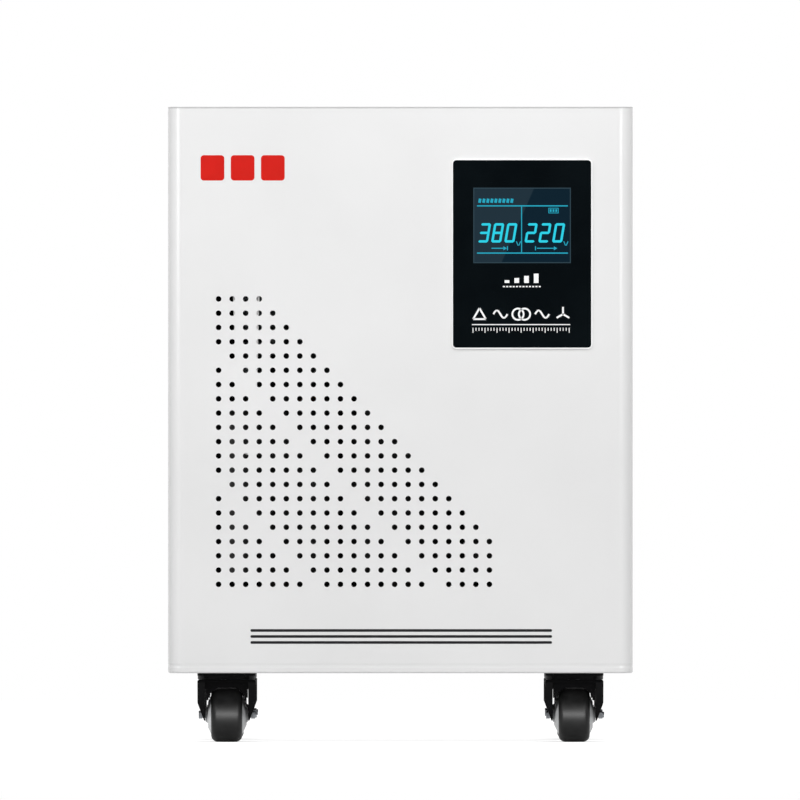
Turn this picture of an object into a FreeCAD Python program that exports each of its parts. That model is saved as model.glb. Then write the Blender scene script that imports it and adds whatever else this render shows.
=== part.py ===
import FreeCAD, Part
import math
import os
import Sketcher
from types import SimpleNamespace

# Three-phase dry-type transformer in a sheet-steel cabinet on swivel casters.
# +Z is up, the front faces -Y, and the origin is on the floor under the middle of the cabinet.

# Driving sizes in millimetres. Each is one cell of the sheet.
SIZES = {
    # cabinet
    "cabinet_width": 430,
    "cabinet_depth": 360,
    "cabinet_height": 524,
    "ground_clearance": 64,
    "panel_sheet": 1.5,
    "base_sheet": 2.5,
    "bend_radius": 14,
    "return_depth": 30,
    "seam_gap": 0.3,
    "lap_depth": 12,
    "flange_height": 20,
    "skirt_height": 15,
    # bead pressed along the bottom of the front panel
    "bead_rise": 3,
    "bead_height": 3,
    "bead_depth": 0.5,
    # field of vent holes in the front panel
    "vent_radius": 2.6,
    "vent_pitch_across": 12.525,
    "vent_pitch_down": 13.2,
    "vent_first_across": -168.2,
    "vent_first_up": 410.2,
    # slots in the side, rear and base sheets
    "side_slot_length": 110,
    "side_slot_height": 6,
    "side_slot_pitch": 16,
    "side_slot_bottom": 120,
    "rear_slot_length": 120,
    "rear_slot_height": 6,
    "rear_slot_pitch": 16,
    "rear_slot_bottom": 400,
    "rear_slot_offset": 75,
    "base_slot_length": 90,
    "base_slot_width": 8,
    "base_slot_pitch": 24,
    # display
    "display_width": 127.6,
    "display_height": 173.2,
    "display_across": 112.5,
    "display_up": 451.8,
    "display_corner": 3,
    "display_proud": 2,
    "display_lip": 5,
    "collar_depth": 15,
    "collar_wall": 2,
    "window_width": 90.4,
    "window_height": 70,
    "window_rise": 26.4,
    "window_recess": 0.2,
    "housing_depth": 40,
    "housing_wall_step": 3,
    "plug_width": 60,
    "plug_height": 12,
    "plug_depth": 9,
    # cable grommets in the rear panel
    "grommet_across": 95,
    "grommet_up": 118,
    "grommet_bore": 12,
    "grommet_neck": 16,
    "grommet_flange": 20,
    "grommet_proud": 2,
    "grommet_inner_flange": 3,
    # screws of the rear panel
    "screw_spread": 150,
    "screw_rise": 10,
    "screw_drop": 7.5,
    "screw_radius": 2,
    "screw_head_radius": 4,
    "screw_head_height": 2,
    "screw_length": 9,
    # core and windings
    "limb_width": 44,
    "limb_pitch": 110,
    "window_opening": 180,
    "core_stack": 60,
    "core_bottom": 100,
    "former_gap": 0.5,
    "inner_build": 12.5,
    "duct": 4,
    "outer_build": 12,
    "inner_end_gap": 6,
    "outer_end_gap": 8,
    "block_width": 30,
    "stick_width": 8,
    # core clamps and rails
    "clamp_length": 300,
    "clamp_sheet": 4,
    "clamp_flange": 26,
    "tie_offset": 7,
    "tie_radius": 4,
    "rail_sheet": 3.5,
    "rail_width": 40,
    "rail_length": 200,
    "rail_across": 110,
    "rail_bolt_inset": 15,
    # terminal deck
    "deck_height": 44.5,
    "deck_length": 290,
    "deck_sheet": 2.5,
    "deck_leg": 42.5,
    "deck_foot": 12.5,
    "deck_bolt_across": 120,
    "board_length": 270,
    "board_width": 32,
    "board_height": 12,
    "board_gap": 16,
    "fin_height": 16,
    "fin_thickness": 4,
    "bar_width": 12,
    "bar_thickness": 3,
    "bar_reach": 10,
    "bar_tail": 26,
    "supply_bar_shift": 27,
    "bar_stand_off": 5,
    "stud_radius": 4,
    "stud_depth": 8,
    "stud_length": 24,
    # bolts of the frame
    "bolt_radius": 3,
    "bolt_head": 10,
    "bolt_head_height": 4,
    "bolt_nut_height": 5,
    "bolt_spare": 2,
    "hole_clearance": 0.3,
    # display lead
    "lead_radius": 1.2,
    "lead_clearance": 0.4,
    # casters
    "caster_side_inset": 54,
    "caster_end_inset": 50,
    "plate_size": 54,
    "plate_sheet": 2.5,
    "plate_corner": 6,
    "plate_bolt_spread": 40,
    "caster_bolt_radius": 2.5,
    "caster_nut": 8,
    "caster_nut_height": 4,
    "race_radius": 14.5,
    "race_drop": 3.5,
    "race_sheet": 2.5,
    "skirt_edge": 0.2,
    "skirt_wall": 2,
    "kingpin_radius": 5,
    "kingpin_head": 9,
    "kingpin_head_height": 2.4,
    "kingpin_foot": 8,
    "kingpin_foot_height": 3,
    "running_gap": 0.3,
    "bore_clearance": 0.06,
    "wheel_radius": 25,
    "wheel_width": 29,
    "tread_shoulder": 6,
    "rim_radius": 18,
    "hub_bulge": 2.8,
    "hub_bulge_radius": 12,
    "hub_boss_radius": 6.5,
    "hub_boss_root": 8,
    "axle_radius": 3,
    "axle_head": 6.4,
    "axle_head_height": 3.5,
    "axle_nut_height": 4,
    "axle_end": 1.4,
    "trail": 18,
    "fork_width": 54,
    "fork_gap": 40,
    "fork_sheet": 2.5,
    "fork_front": 20,
    "fork_rear": 24,
    "fork_knee": 36,
    "fork_tip": 19.4,
    "fork_tip_width": 42,
    "fork_toe_front": 6.5,
    "fork_toe_rear": 9.5,
    "fork_round": 5.5,
    "crown_round": 1.8,
    "arch_back": 4.5,
    "arch_foot": 48.8,
    "arch_ear": 45.5,
    "arch_ear_x": 14.6,
    "arch_shoulder": 48,
    "arch_shoulder_x": 12.2,
    "arch_crown": 50.2,
    "arch_crown_x": 8,
    "cheek_inner": 16.9,
    "cheek_sheet": 1.5,
    "cheek_low": 38.5,
    "liner_inner": 15.1,
    "liner_low": 43,
}

# Small round holes and shanks that repeat are drawn with this many flats.
SMALL_SIDES = 8
HEX = 6
VENT_ROWS = 21
VENT_COLUMNS = 21
VENT_TOP_COUNT = 4
VENT_BLANK_STEPS = (4, 13)

doc = FreeCAD.newDocument("transformer")
sheet = doc.addObject("Spreadsheet::Sheet", "sizes")
for row, (alias, value) in enumerate(SIZES.items(), start=1):
    sheet.set(f"A{row}", alias)
    sheet.set(f"B{row}", str(value))
    sheet.setAlias(f"B{row}", alias)
doc.recompute()


class Dim:
    """A length: its number now, and the sheet expression that it is worked out by."""

    def __init__(self, number, text=None):
        self.number = float(number)
        self.text = text or repr(self.number)

    def joined(self, sign, other, number):
        return Dim(number, f"({self.text} {sign} {other.text})")

    def __add__(self, other):
        other = dim(other)
        return self.joined("+", other, self.number + other.number)

    def __sub__(self, other):
        other = dim(other)
        return self.joined("-", other, self.number - other.number)

    def __mul__(self, other):
        other = dim(other)
        return self.joined("*", other, self.number * other.number)

    def __truediv__(self, other):
        other = dim(other)
        return self.joined("/", other, self.number / other.number)

    def __radd__(self, other):
        return dim(other) + self

    def __rsub__(self, other):
        return dim(other) - self

    def __rmul__(self, other):
        return dim(other) * self

    def __neg__(self):
        return Dim(-self.number, f"(-1 * {self.text})")

    def __float__(self):
        return self.number


def dim(value):
    return value if isinstance(value, Dim) else Dim(value)


s = SimpleNamespace(**{alias: Dim(sheet.get(alias), f"sizes.{alias}") for alias in SIZES})

# Planes of the cabinet that several pieces share.
side_x = s.cabinet_width / 2
face_y = s.cabinet_depth / 2
base_z = s.ground_clearance
floor_z = base_z + s.base_sheet
roof_z = base_z + s.cabinet_height
ceiling_z = roof_z - s.panel_sheet
inner_side_x = side_x - s.panel_sheet
inner_face_y = face_y - s.panel_sheet
tray_x = inner_side_x - s.panel_sheet - s.seam_gap
tray_y = inner_face_y - s.seam_gap
tray_corner = s.bend_radius - 2 * s.panel_sheet + s.seam_gap

nodes = []


def keep(obj, label):
    """Marks an object as a finished sub-part."""
    obj.Label = label
    nodes.append(obj)
    return obj


def bind(obj, **bound):
    for prop, value in bound.items():
        obj.setExpression(prop, dim(value).text)


def place(obj, x=0, y=0, z=0, turn=None):
    if turn:
        obj.Placement = FreeCAD.Placement(FreeCAD.Vector(), turn)
    for letter, value in zip("xyz", (x, y, z)):
        obj.setExpression(f"Placement.Base.{letter}", dim(value).text)
    return obj


# Turns that lay an upright shape along +Y or +X.
ALONG_Y = FreeCAD.Rotation(FreeCAD.Vector(1, 0, 0), -90)
ALONG_X = FreeCAD.Rotation(FreeCAD.Vector(0, 1, 0), 90)


def new_body(name):
    return doc.addObject("PartDesign::Body", name)


def sketch_on(body, plane, at=0):
    """A sketch on the body's XY, XZ or YZ plane, moved to a place on the plane's own axis."""
    support = next(f for f in body.Origin.OriginFeatures if f.Role == plane + "_Plane")
    sketch = body.newObject("Sketcher::SketchObject", body.Name + "_sketch")
    sketch.AttachmentSupport = [(support, "")]
    sketch.MapMode = "FlatFace"
    offset = -dim(at) if plane == "XZ" else dim(at)
    bind(sketch, **{"AttachmentOffset.Base.z": offset})
    return sketch


def hold(sketch, geometry, point, x, y):
    """Holds one point of the sketch at a distance from its origin."""
    for kind, value in (("DistanceX", dim(x)), ("DistanceY", dim(y))):
        rule = Sketcher.Constraint(kind, -1, 1, geometry, point, value.number)
        index = sketch.addConstraint(rule)
        sketch.setExpression(f"Constraints[{index}]", value.text)


def polygon(sketch, points):
    """A closed outline of straight lines, each corner held by the sheet."""
    corners = [FreeCAD.Vector(float(x), float(y), 0) for x, y in points]
    first = sketch.GeometryCount
    count = len(corners)
    for i in range(count):
        sketch.addGeometry(Part.LineSegment(corners[i], corners[(i + 1) % count]), False)
    for i in range(count):
        following = first + (i + 1) % count
        sketch.addConstraint(Sketcher.Constraint("Coincident", first + i, 2, following, 1))
    for i, (x, y) in enumerate(points):
        hold(sketch, first + i, 1, x, y)


def circle(sketch, x, y, radius):
    centre = FreeCAD.Vector(float(x), float(y), 0)
    ring = Part.Circle(centre, FreeCAD.Vector(0, 0, 1), float(radius))
    index = sketch.addGeometry(ring, False)
    hold(sketch, index, 3, x, y)
    rule = sketch.addConstraint(Sketcher.Constraint("Radius", index, float(radius)))
    sketch.setExpression(f"Constraints[{rule}]", dim(radius).text)


def rounded_rectangle(sketch, x0, x1, y0, y1, radius):
    """Four sides joined by four equal tangent arcs."""
    r = float(radius)
    left, right, low, high = float(x0), float(x1), float(y0), float(y1)
    up = FreeCAD.Vector(0, 0, 1)
    corners = (
        ((left + r, low), (right - r, low), (right - r, low + r)),
        ((right, low + r), (right, high - r), (right - r, high - r)),
        ((right - r, high), (left + r, high), (left + r, high - r)),
        ((left, high - r), (left, low + r), (left + r, low + r)),
    )
    lines = []
    arcs = []
    for quarter, (start, end, centre) in enumerate(corners):
        line = Part.LineSegment(FreeCAD.Vector(*start, 0), FreeCAD.Vector(*end, 0))
        lines.append(sketch.addGeometry(line, False))
        round_corner = Part.Circle(FreeCAD.Vector(*centre, 0), up, r)
        begin = (quarter - 1) * math.pi / 2
        arc = Part.ArcOfCircle(round_corner, begin, begin + math.pi / 2)
        arcs.append(sketch.addGeometry(arc, False))
    for i in range(4):
        sketch.addConstraint(Sketcher.Constraint("Tangent", lines[i], 2, arcs[i], 1))
        sketch.addConstraint(Sketcher.Constraint("Tangent", arcs[i], 2, lines[(i + 1) % 4], 1))
        direction = "Horizontal" if i % 2 == 0 else "Vertical"
        sketch.addConstraint(Sketcher.Constraint(direction, lines[i]))
        if i:
            sketch.addConstraint(Sketcher.Constraint("Equal", arcs[0], arcs[i]))
    rule = sketch.addConstraint(Sketcher.Constraint("Radius", arcs[0], r))
    sketch.setExpression(f"Constraints[{rule}]", dim(radius).text)
    sides = (("DistanceY", 0, y0), ("DistanceX", 1, x1), ("DistanceY", 2, y1), ("DistanceX", 3, x0))
    for kind, side, value in sides:
        value = dim(value)
        held = Sketcher.Constraint(kind, -1, 1, lines[side], 1, value.number)
        sketch.setExpression(f"Constraints[{sketch.addConstraint(held)}]", value.text)


def pad(body, sketch, length):
    """Thickens a sketch towards the positive side of its plane's axis."""
    feature = body.newObject("PartDesign::Pad", body.Name + "_pad")
    feature.Profile = sketch
    feature.Reversed = sketch.AttachmentSupport[0][0].Role == "XZ_Plane"
    bind(feature, Length=length)
    return feature


def pocket(body, sketch, length):
    """Cuts a sketch away towards the positive side of its plane's axis."""
    feature = body.newObject("PartDesign::Pocket", body.Name + "_pocket")
    feature.Profile = sketch
    feature.Reversed = sketch.AttachmentSupport[0][0].Role != "XZ_Plane"
    bind(feature, Length=length)
    return feature


def turned(body, sketch, axis):
    """A full turn of a sketch about its own V_Axis or H_Axis."""
    feature = body.newObject("PartDesign::Revolution", body.Name + "_turn")
    feature.Profile = sketch
    feature.ReferenceAxis = (sketch, [axis])
    feature.Angle = 360
    return feature


def rounded(body, feature, radius, chosen):
    """Rounds the edges of a feature whose middle point the test picks."""
    doc.recompute()
    names = []
    for i, edge in enumerate(feature.Shape.Edges, start=1):
        middle = edge.valueAt((edge.FirstParameter + edge.LastParameter) / 2)
        if chosen(middle, edge):
            names.append(f"Edge{i}")
    fillet = body.newObject("PartDesign::Fillet", body.Name + "_fillet")
    fillet.Base = (feature, names)
    bind(fillet, Radius=radius)
    return fillet


def prism(name, sides, circumradius, height, x, y, z, turn=None):
    """A regular prism that stands on the given point, upright or turned along an axis."""
    shape = doc.addObject("Part::Prism", name)
    shape.Polygon = sides
    bind(shape, Circumradius=circumradius, Height=height)
    return place(shape, x, y, z, turn)


def group(name, links):
    compound = doc.addObject("Part::Compound", name)
    compound.Links = links
    return compound


def fused(name, shapes):
    joined = doc.addObject("Part::MultiFuse", name)
    joined.Shapes = shapes
    return joined


def cut(name, base, tool):
    result = doc.addObject("Part::Cut", name)
    result.Base = base
    result.Tool = tool
    return result


def flats_radius(radius, sides=SMALL_SIDES):
    """The corner radius of a regular outline whose flats lie at the given radius."""
    return dim(radius) / math.cos(math.pi / sides)


def punch(name, radius, height, x, y, z, turn=None):
    """A tool for a small hole that clears a shank of the radius."""
    clear = flats_radius(radius + s.hole_clearance)
    return prism(name, SMALL_SIDES, clear, height, x, y, z, turn)


def wrap_panel(name, front):
    """The front or rear sheet: a flat face with a round bend and a short return on each side."""
    reach = 2 * s.return_depth
    outer = (-face_y, -face_y + reach) if front else (face_y - reach, face_y)
    inner = (outer[0] + s.panel_sheet, outer[1] - s.panel_sheet)
    body = new_body(name)
    section = sketch_on(body, "XY", floor_z)
    rounded_rectangle(section, -side_x, side_x, outer[0], outer[1], s.bend_radius)
    inner_radius = s.bend_radius - s.panel_sheet
    rounded_rectangle(section, -inner_side_x, inner_side_x, inner[0], inner[1], inner_radius)
    pad(body, section, ceiling_z - floor_z)
    open_side = sketch_on(body, "XY", floor_z - 1)
    if front:
        low, high = outer[0] + s.return_depth, outer[1] + 1
    else:
        low, high = outer[0] - 1, outer[1] - s.return_depth
    wide = side_x + 1
    polygon(open_side, ((-wide, low), (wide, low), (wide, high), (-wide, high)))
    pocket(body, open_side, ceiling_z - floor_z + 2)
    return body


def vent_punches():
    """Tools for the stepped field of vent holes.

    Each row is one hole longer than the row above it, up to the full width, and two slanted
    lines of the lattice stay blank, so that the field reads as a triangle and two bands.
    """
    area_factor = math.sqrt(2 * math.pi / (SMALL_SIDES * math.sin(2 * math.pi / SMALL_SIDES)))
    radius = float(s.vent_radius) * area_factor
    depth = float(s.panel_sheet) * 4
    start_y = -float(face_y) - float(s.panel_sheet)
    step = 2 * math.pi / SMALL_SIDES
    ring = []
    for i in range(SMALL_SIDES + 1):
        angle = step * (i + 0.5)
        ring.append(FreeCAD.Vector(radius * math.cos(angle), start_y, radius * math.sin(angle)))
    outline = Part.Face(Part.makePolygon(ring))
    tool = outline.extrude(FreeCAD.Vector(0, depth, 0))
    tools = []
    for row in range(VENT_ROWS):
        count = min(row + VENT_TOP_COUNT, VENT_COLUMNS)
        for column in range(count):
            if row - column in VENT_BLANK_STEPS:
                continue
            copy = tool.copy()
            across = float(s.vent_first_across) + column * float(s.vent_pitch_across)
            up = float(s.vent_first_up) - row * float(s.vent_pitch_down)
            copy.translate(FreeCAD.Vector(across, 0, up))
            tools.append(copy)
    feature = doc.addObject("Part::Feature", "vent_punches")
    feature.Shape = Part.makeCompound(tools)
    return feature


def slot_tool(name, length, height, x, y, z, along_x):
    """A tool for one straight ventilation slot, centred on x, y and z."""
    tool = doc.addObject("Part::Box", name)
    through = 4 * s.panel_sheet
    if along_x:
        bind(tool, Length=length, Width=through, Height=height)
        return place(tool, x - dim(length) / 2, y - through / 2, z - dim(height) / 2)
    bind(tool, Length=through, Width=length, Height=height)
    return place(tool, x - through / 2, y - dim(length) / 2, z - dim(height) / 2)


display_left = s.display_across - s.display_width / 2
display_right = s.display_across + s.display_width / 2
display_low = s.display_up - s.display_height / 2
display_high = s.display_up + s.display_height / 2
opening_left = display_left + s.display_lip
opening_right = display_right - s.display_lip
opening_low = display_low + s.display_lip
opening_high = display_high - s.display_lip


def front_panel():
    body = wrap_panel("front_blank", front=True)
    opening = sketch_on(body, "XZ", -face_y - 1)
    polygon(opening, (
        (opening_left, opening_low),
        (opening_right, opening_low),
        (opening_right, opening_high),
        (opening_left, opening_high),
    ))
    pocket(body, opening, s.panel_sheet + 2)
    bead_z = floor_z + s.bead_rise
    bead = sketch_on(body, "XY", bead_z)
    wide = side_x + 1
    reach = 2 * s.return_depth
    rounded_rectangle(bead, -wide, wide, -face_y - 1, -face_y + reach, s.bend_radius + 1)
    inset = s.bead_depth
    rounded_rectangle(bead, -side_x + inset, side_x - inset, -face_y + inset,
                      -face_y + reach - inset, s.bend_radius - inset)
    pocket(body, bead, s.bead_height)
    keep(cut("front_panel", body, vent_punches()), "front_panel")


REAR_SLOTS = 9
rear_screw_places = []
for level in (floor_z + s.screw_rise, ceiling_z - s.screw_drop):
    for step in (-1, 0, 1):
        rear_screw_places.append((step * s.screw_spread, level))


def rear_screw_holes(name, start_y, depth, level_index=None):
    """Tools for the holes of the rear screws through one sheet, or through one row of them."""
    tools = []
    for i, (x, z) in enumerate(rear_screw_places):
        if level_index is None or i // 3 == level_index:
            tools.append(punch(f"{name}_{i}", s.screw_radius, depth, x, start_y, z, ALONG_Y))
    return tools


def rear_panel():
    body = wrap_panel("rear_blank", front=False)
    holes = sketch_on(body, "XZ", face_y - 2 * s.panel_sheet)
    for side in (-1, 1):
        circle(holes, side * s.grommet_across, s.grommet_up, s.grommet_neck)
    pocket(body, holes, 3 * s.panel_sheet)
    tools = rear_screw_holes("rear_punch", face_y - 2 * s.panel_sheet, 3 * s.panel_sheet)
    for i in range(REAR_SLOTS):
        for side in (-1, 1):
            z = s.rear_slot_bottom + i * s.rear_slot_pitch
            tools.append(slot_tool(f"rear_slot_{i}", s.rear_slot_length, s.rear_slot_height,
                                   side * s.rear_slot_offset, face_y, z, True))
    keep(cut("rear_panel", body, group("rear_tools", tools)), "rear_panel")


def rear_screws():
    """Pan-head screws that hold the rear sheet to the tray and to the cover's skirt."""
    screws = []
    for i, (x, z) in enumerate(rear_screw_places):
        head = prism(f"screw_head_{i}", SMALL_SIDES, s.screw_head_radius, s.screw_head_height,
                     x, face_y, z, ALONG_Y)
        shank = prism(f"screw_shank_{i}", SMALL_SIDES, s.screw_radius,
                      s.screw_length + s.screw_head_height / 2, x, face_y - s.screw_length, z,
                      ALONG_Y)
        screws.append(fused(f"screw_{i}", [head, shank]))
    keep(group("rear_screws", screws), "rear_screws")


SIDE_SLOTS = 12


def side_panel(label, side):
    """A flat sheet, flush between the returns, with a joggled strip behind each of them."""
    body = new_body(label + "_blank")
    section = sketch_on(body, "XY", floor_z)
    edge = face_y - s.return_depth - s.seam_gap
    joggle = edge - s.panel_sheet
    strip_x = inner_side_x - s.panel_sheet
    half = (
        (side_x, edge),
        (inner_side_x, edge),
        (inner_side_x, edge + s.lap_depth),
        (strip_x, edge + s.lap_depth),
        (strip_x, joggle),
        (inner_side_x, joggle),
    )
    points = [(side * x, y) for x, y in half]
    points += [(side * x, -y) for x, y in reversed(half)]
    polygon(section, points)
    pad(body, section, ceiling_z - floor_z)
    tools = []
    for i in range(SIDE_SLOTS):
        z = s.side_slot_bottom + i * s.side_slot_pitch
        for end in (-1, 1):
            y = end * (s.side_slot_length / 2 + s.side_slot_pitch / 2)
            tools.append(slot_tool(f"{label}_slot_{i}", s.side_slot_length,
                                   s.side_slot_height, side * side_x, y, z, False))
    keep(cut(label, body, group(label + "_tools", tools)), label)


def tray_ring(body, bottom, height, wall):
    """An upright flange that follows the inside of the cabinet's walls."""
    ring = sketch_on(body, "XY", bottom)
    rounded_rectangle(ring, -tray_x, tray_x, -tray_y, tray_y, tray_corner)
    inner_x = tray_x - wall
    inner_y = tray_y - wall
    rounded_rectangle(ring, -inner_x, inner_x, -inner_y, inner_y, tray_corner - wall)
    pad(body, ring, height)


# Kingpin centres, numbered from the front left to the rear right.
kingpin_x = side_x - s.caster_side_inset
kingpin_y = face_y - s.caster_end_inset
caster_places = [
    (side * kingpin_x, end * kingpin_y) for end in (-1, 1) for side in (-1, 1)
]


def caster_bolt_places():
    reach = s.plate_bolt_spread / 2
    for x, y in caster_places:
        for dx in (-1, 1):
            for dy in (-1, 1):
                yield x + dx * reach, y + dy * reach


# Bolts between the rails and the tray.
rail_bolt_y = s.rail_length / 2 - s.rail_bolt_inset
rail_inner_x = s.rail_across - s.rail_width / 2
rail_bolt_x = rail_inner_x + s.rail_bolt_inset
rail_bolt_places = [
    (side * rail_bolt_x, end * rail_bolt_y) for end in (-1, 1) for side in (-1, 1)
]

BASE_SLOTS = 5


def base_pan():
    body = new_body("base_blank")
    plan = sketch_on(body, "XY", base_z)
    rounded_rectangle(plan, -side_x, side_x, -face_y, face_y, s.bend_radius)
    pad(body, plan, s.base_sheet)
    tray_ring(body, floor_z, s.flange_height, s.base_sheet)
    tools = rear_screw_holes("tray_punch", tray_y - 2 * s.base_sheet, 3 * s.base_sheet, 0)
    below = base_z - s.base_sheet
    for i, (x, y) in enumerate(caster_bolt_places()):
        tools.append(punch(f"base_punch_{i}", s.caster_bolt_radius, 3 * s.base_sheet, x, y, below))
    for i, (x, y) in enumerate(rail_bolt_places):
        tools.append(punch(f"rail_punch_{i}", s.bolt_radius, 3 * s.base_sheet, x, y, below))
    for i in range(BASE_SLOTS):
        slot = doc.addObject("Part::Box", f"base_slot_{i}")
        bind(slot, Length=s.base_slot_length, Width=s.base_slot_width, Height=3 * s.base_sheet)
        y = (i - (BASE_SLOTS - 1) / 2) * s.base_slot_pitch - s.base_slot_width / 2
        tools.append(place(slot, -s.base_slot_length / 2, y, below))
    keep(cut("base_pan", body, group("base_tools", tools)), "base_pan")


def top_cover():
    body = new_body("cover_blank")
    plan = sketch_on(body, "XY", ceiling_z)
    rounded_rectangle(plan, -side_x, side_x, -face_y, face_y, s.bend_radius)
    pad(body, plan, s.panel_sheet)
    tray_ring(body, ceiling_z - s.skirt_height, s.skirt_height, s.panel_sheet)
    tools = rear_screw_holes("skirt_punch", tray_y - 2 * s.panel_sheet, 3 * s.panel_sheet, 1)
    keep(cut("top_cover", body, group("cover_tools", tools)), "top_cover")


# The bezel stands proud of the front sheet, and its collar goes through the sheet's opening.
bezel_y = -face_y - s.display_proud
collar_left = opening_left + s.seam_gap
collar_right = opening_right - s.seam_gap
collar_low = opening_low + s.seam_gap
collar_high = opening_high - s.seam_gap
window_up = s.display_up + s.window_rise
window_left = s.display_across - s.window_width / 2
window_right = s.display_across + s.window_width / 2
window_low = window_up - s.window_height / 2
window_high = window_up + s.window_height / 2
housing_inset = s.collar_wall + s.seam_gap


def display_panel():
    body = new_body("display_panel_body")
    face = sketch_on(body, "XZ", bezel_y)
    rounded_rectangle(face, display_left, display_right, display_low, display_high,
                      s.display_corner)
    polygon(face, (
        (window_left, window_low),
        (window_right, window_low),
        (window_right, window_high),
        (window_left, window_high),
    ))
    pad(body, face, s.display_proud)
    collar = sketch_on(body, "XZ", -face_y)
    for inset in (0, s.collar_wall):
        polygon(collar, (
            (collar_left + inset, collar_low + inset),
            (collar_right - inset, collar_low + inset),
            (collar_right - inset, collar_high - inset),
            (collar_left + inset, collar_high - inset),
        ))
    pad(body, collar, s.collar_depth)
    keep(body, "display_panel")


def display_window():
    body = new_body("display_window_body")
    pane = sketch_on(body, "XZ", bezel_y + s.window_recess)
    gap = s.bore_clearance
    polygon(pane, (
        (window_left + gap, window_low + gap),
        (window_right - gap, window_low + gap),
        (window_right - gap, window_high - gap),
        (window_left + gap, window_high - gap),
    ))
    pad(body, pane, s.display_proud - s.window_recess)
    keep(body, "display_window")


def display_housing():
    """The closed case of the meter, with a stepped back and a terminal plug below."""
    body = new_body("display_housing_body")
    left = collar_left + housing_inset
    right = collar_right - housing_inset
    low = collar_low + housing_inset
    high = collar_high - housing_inset
    front = sketch_on(body, "XZ", -face_y)
    polygon(front, ((left, low), (right, low), (right, high), (left, high)))
    pad(body, front, s.housing_depth - 2 * s.housing_wall_step)
    step = 2 * s.housing_wall_step
    back = sketch_on(body, "XZ", -face_y + s.housing_depth - step)
    polygon(back, (
        (left + step, low + step),
        (right - step, low + step),
        (right - step, high - step),
        (left + step, high - step),
    ))
    pad(body, back, step)
    plug = sketch_on(body, "XZ", -face_y + s.housing_depth)
    plug_low = low + 2 * step
    polygon(plug, (
        (s.display_across - s.plug_width / 2, plug_low),
        (s.display_across + s.plug_width / 2, plug_low),
        (s.display_across + s.plug_width / 2, plug_low + s.plug_height),
        (s.display_across - s.plug_width / 2, plug_low + s.plug_height),
    ))
    pad(body, plug, s.plug_depth)
    keep(body, "display_housing")


def grommet(label, side):
    """A rubber bush whose groove holds the edge of its hole in the rear sheet."""
    body = new_body(label + "_body")
    section = sketch_on(body, "XZ")
    neck = s.grommet_neck - s.bore_clearance
    groove = s.panel_sheet + 2 * s.bore_clearance
    outside = s.grommet_proud - s.bore_clearance
    polygon(section, (
        (s.grommet_bore, -s.grommet_inner_flange - groove),
        (s.grommet_flange - 1, -s.grommet_inner_flange - groove),
        (s.grommet_flange, -s.grommet_inner_flange - groove + 1),
        (s.grommet_flange, -groove),
        (neck, -groove),
        (neck, 0),
        (s.grommet_flange, 0),
        (s.grommet_flange, outside - 1),
        (s.grommet_flange - 1, outside),
        (s.grommet_bore, outside),
    ))
    turned(body, section, "V_Axis")
    place(body, side * s.grommet_across, face_y + s.bore_clearance, s.grommet_up, ALONG_Y)
    keep(body, label)


# The core stands on the rails, and each limb carries one inner and one outer winding.
window_x = s.limb_pitch - s.limb_width
core_half = s.limb_pitch + s.limb_width / 2
yoke_z = s.core_bottom + s.limb_width
window_top_z = yoke_z + s.window_opening
core_top = window_top_z + s.limb_width
stack_y = s.core_stack / 2
inner_in_x = s.limb_width / 2 + s.former_gap
inner_in_y = stack_y + s.former_gap
inner_out_x = inner_in_x + s.inner_build
inner_out_y = inner_in_y + s.inner_build
outer_in_x = inner_out_x + s.duct
outer_in_y = inner_out_y + s.duct
outer_out_x = outer_in_x + s.outer_build
outer_out_y = outer_in_y + s.outer_build
PHASES = (-1, 0, 1)


def core():
    body = new_body("core_body")
    face = sketch_on(body, "XZ", -stack_y)
    polygon(face, (
        (-core_half, s.core_bottom),
        (core_half, s.core_bottom),
        (core_half, core_top),
        (-core_half, core_top),
    ))
    near = s.limb_width / 2
    for side in (-1, 1):
        polygon(face, (
            (side * near, yoke_z),
            (side * (near + window_x), yoke_z),
            (side * (near + window_x), window_top_z),
            (side * near, window_top_z),
        ))
    pad(body, face, s.core_stack)
    keep(body, "core")


def winding(label, phase, in_x, in_y, build, end_gap, corner):
    """One coil of rounded rectangular plan, wound round its limb."""
    body = new_body(label + "_body")
    plan = sketch_on(body, "XY", yoke_z + end_gap)
    middle = phase * s.limb_pitch
    out_x = in_x + build
    out_y = in_y + build
    rounded_rectangle(plan, middle - out_x, middle + out_x, -out_y, out_y, corner + build)
    rounded_rectangle(plan, middle - in_x, middle + in_x, -in_y, in_y, corner)
    pad(body, plan, s.window_opening - 2 * end_gap)
    keep(body, label)


def windings():
    inner_corner = 2 * s.former_gap
    outer_corner = inner_corner + s.inner_build + s.duct
    for number, phase in enumerate(PHASES, start=1):
        winding(f"inner_winding_{number}", phase, inner_in_x, inner_in_y, s.inner_build,
                s.inner_end_gap, inner_corner)
        winding(f"outer_winding_{number}", phase, outer_in_x, outer_in_y, s.outer_build,
                s.outer_end_gap, outer_corner)


clamp_out = stack_y + s.clamp_flange


def box(name, x0, x1, y0, y1, z0, z1):
    solid = doc.addObject("Part::Box", name)
    bind(solid, Length=dim(x1) - x0, Width=dim(y1) - y0, Height=dim(z1) - z0)
    return place(solid, x0, y0, z0)


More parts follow.
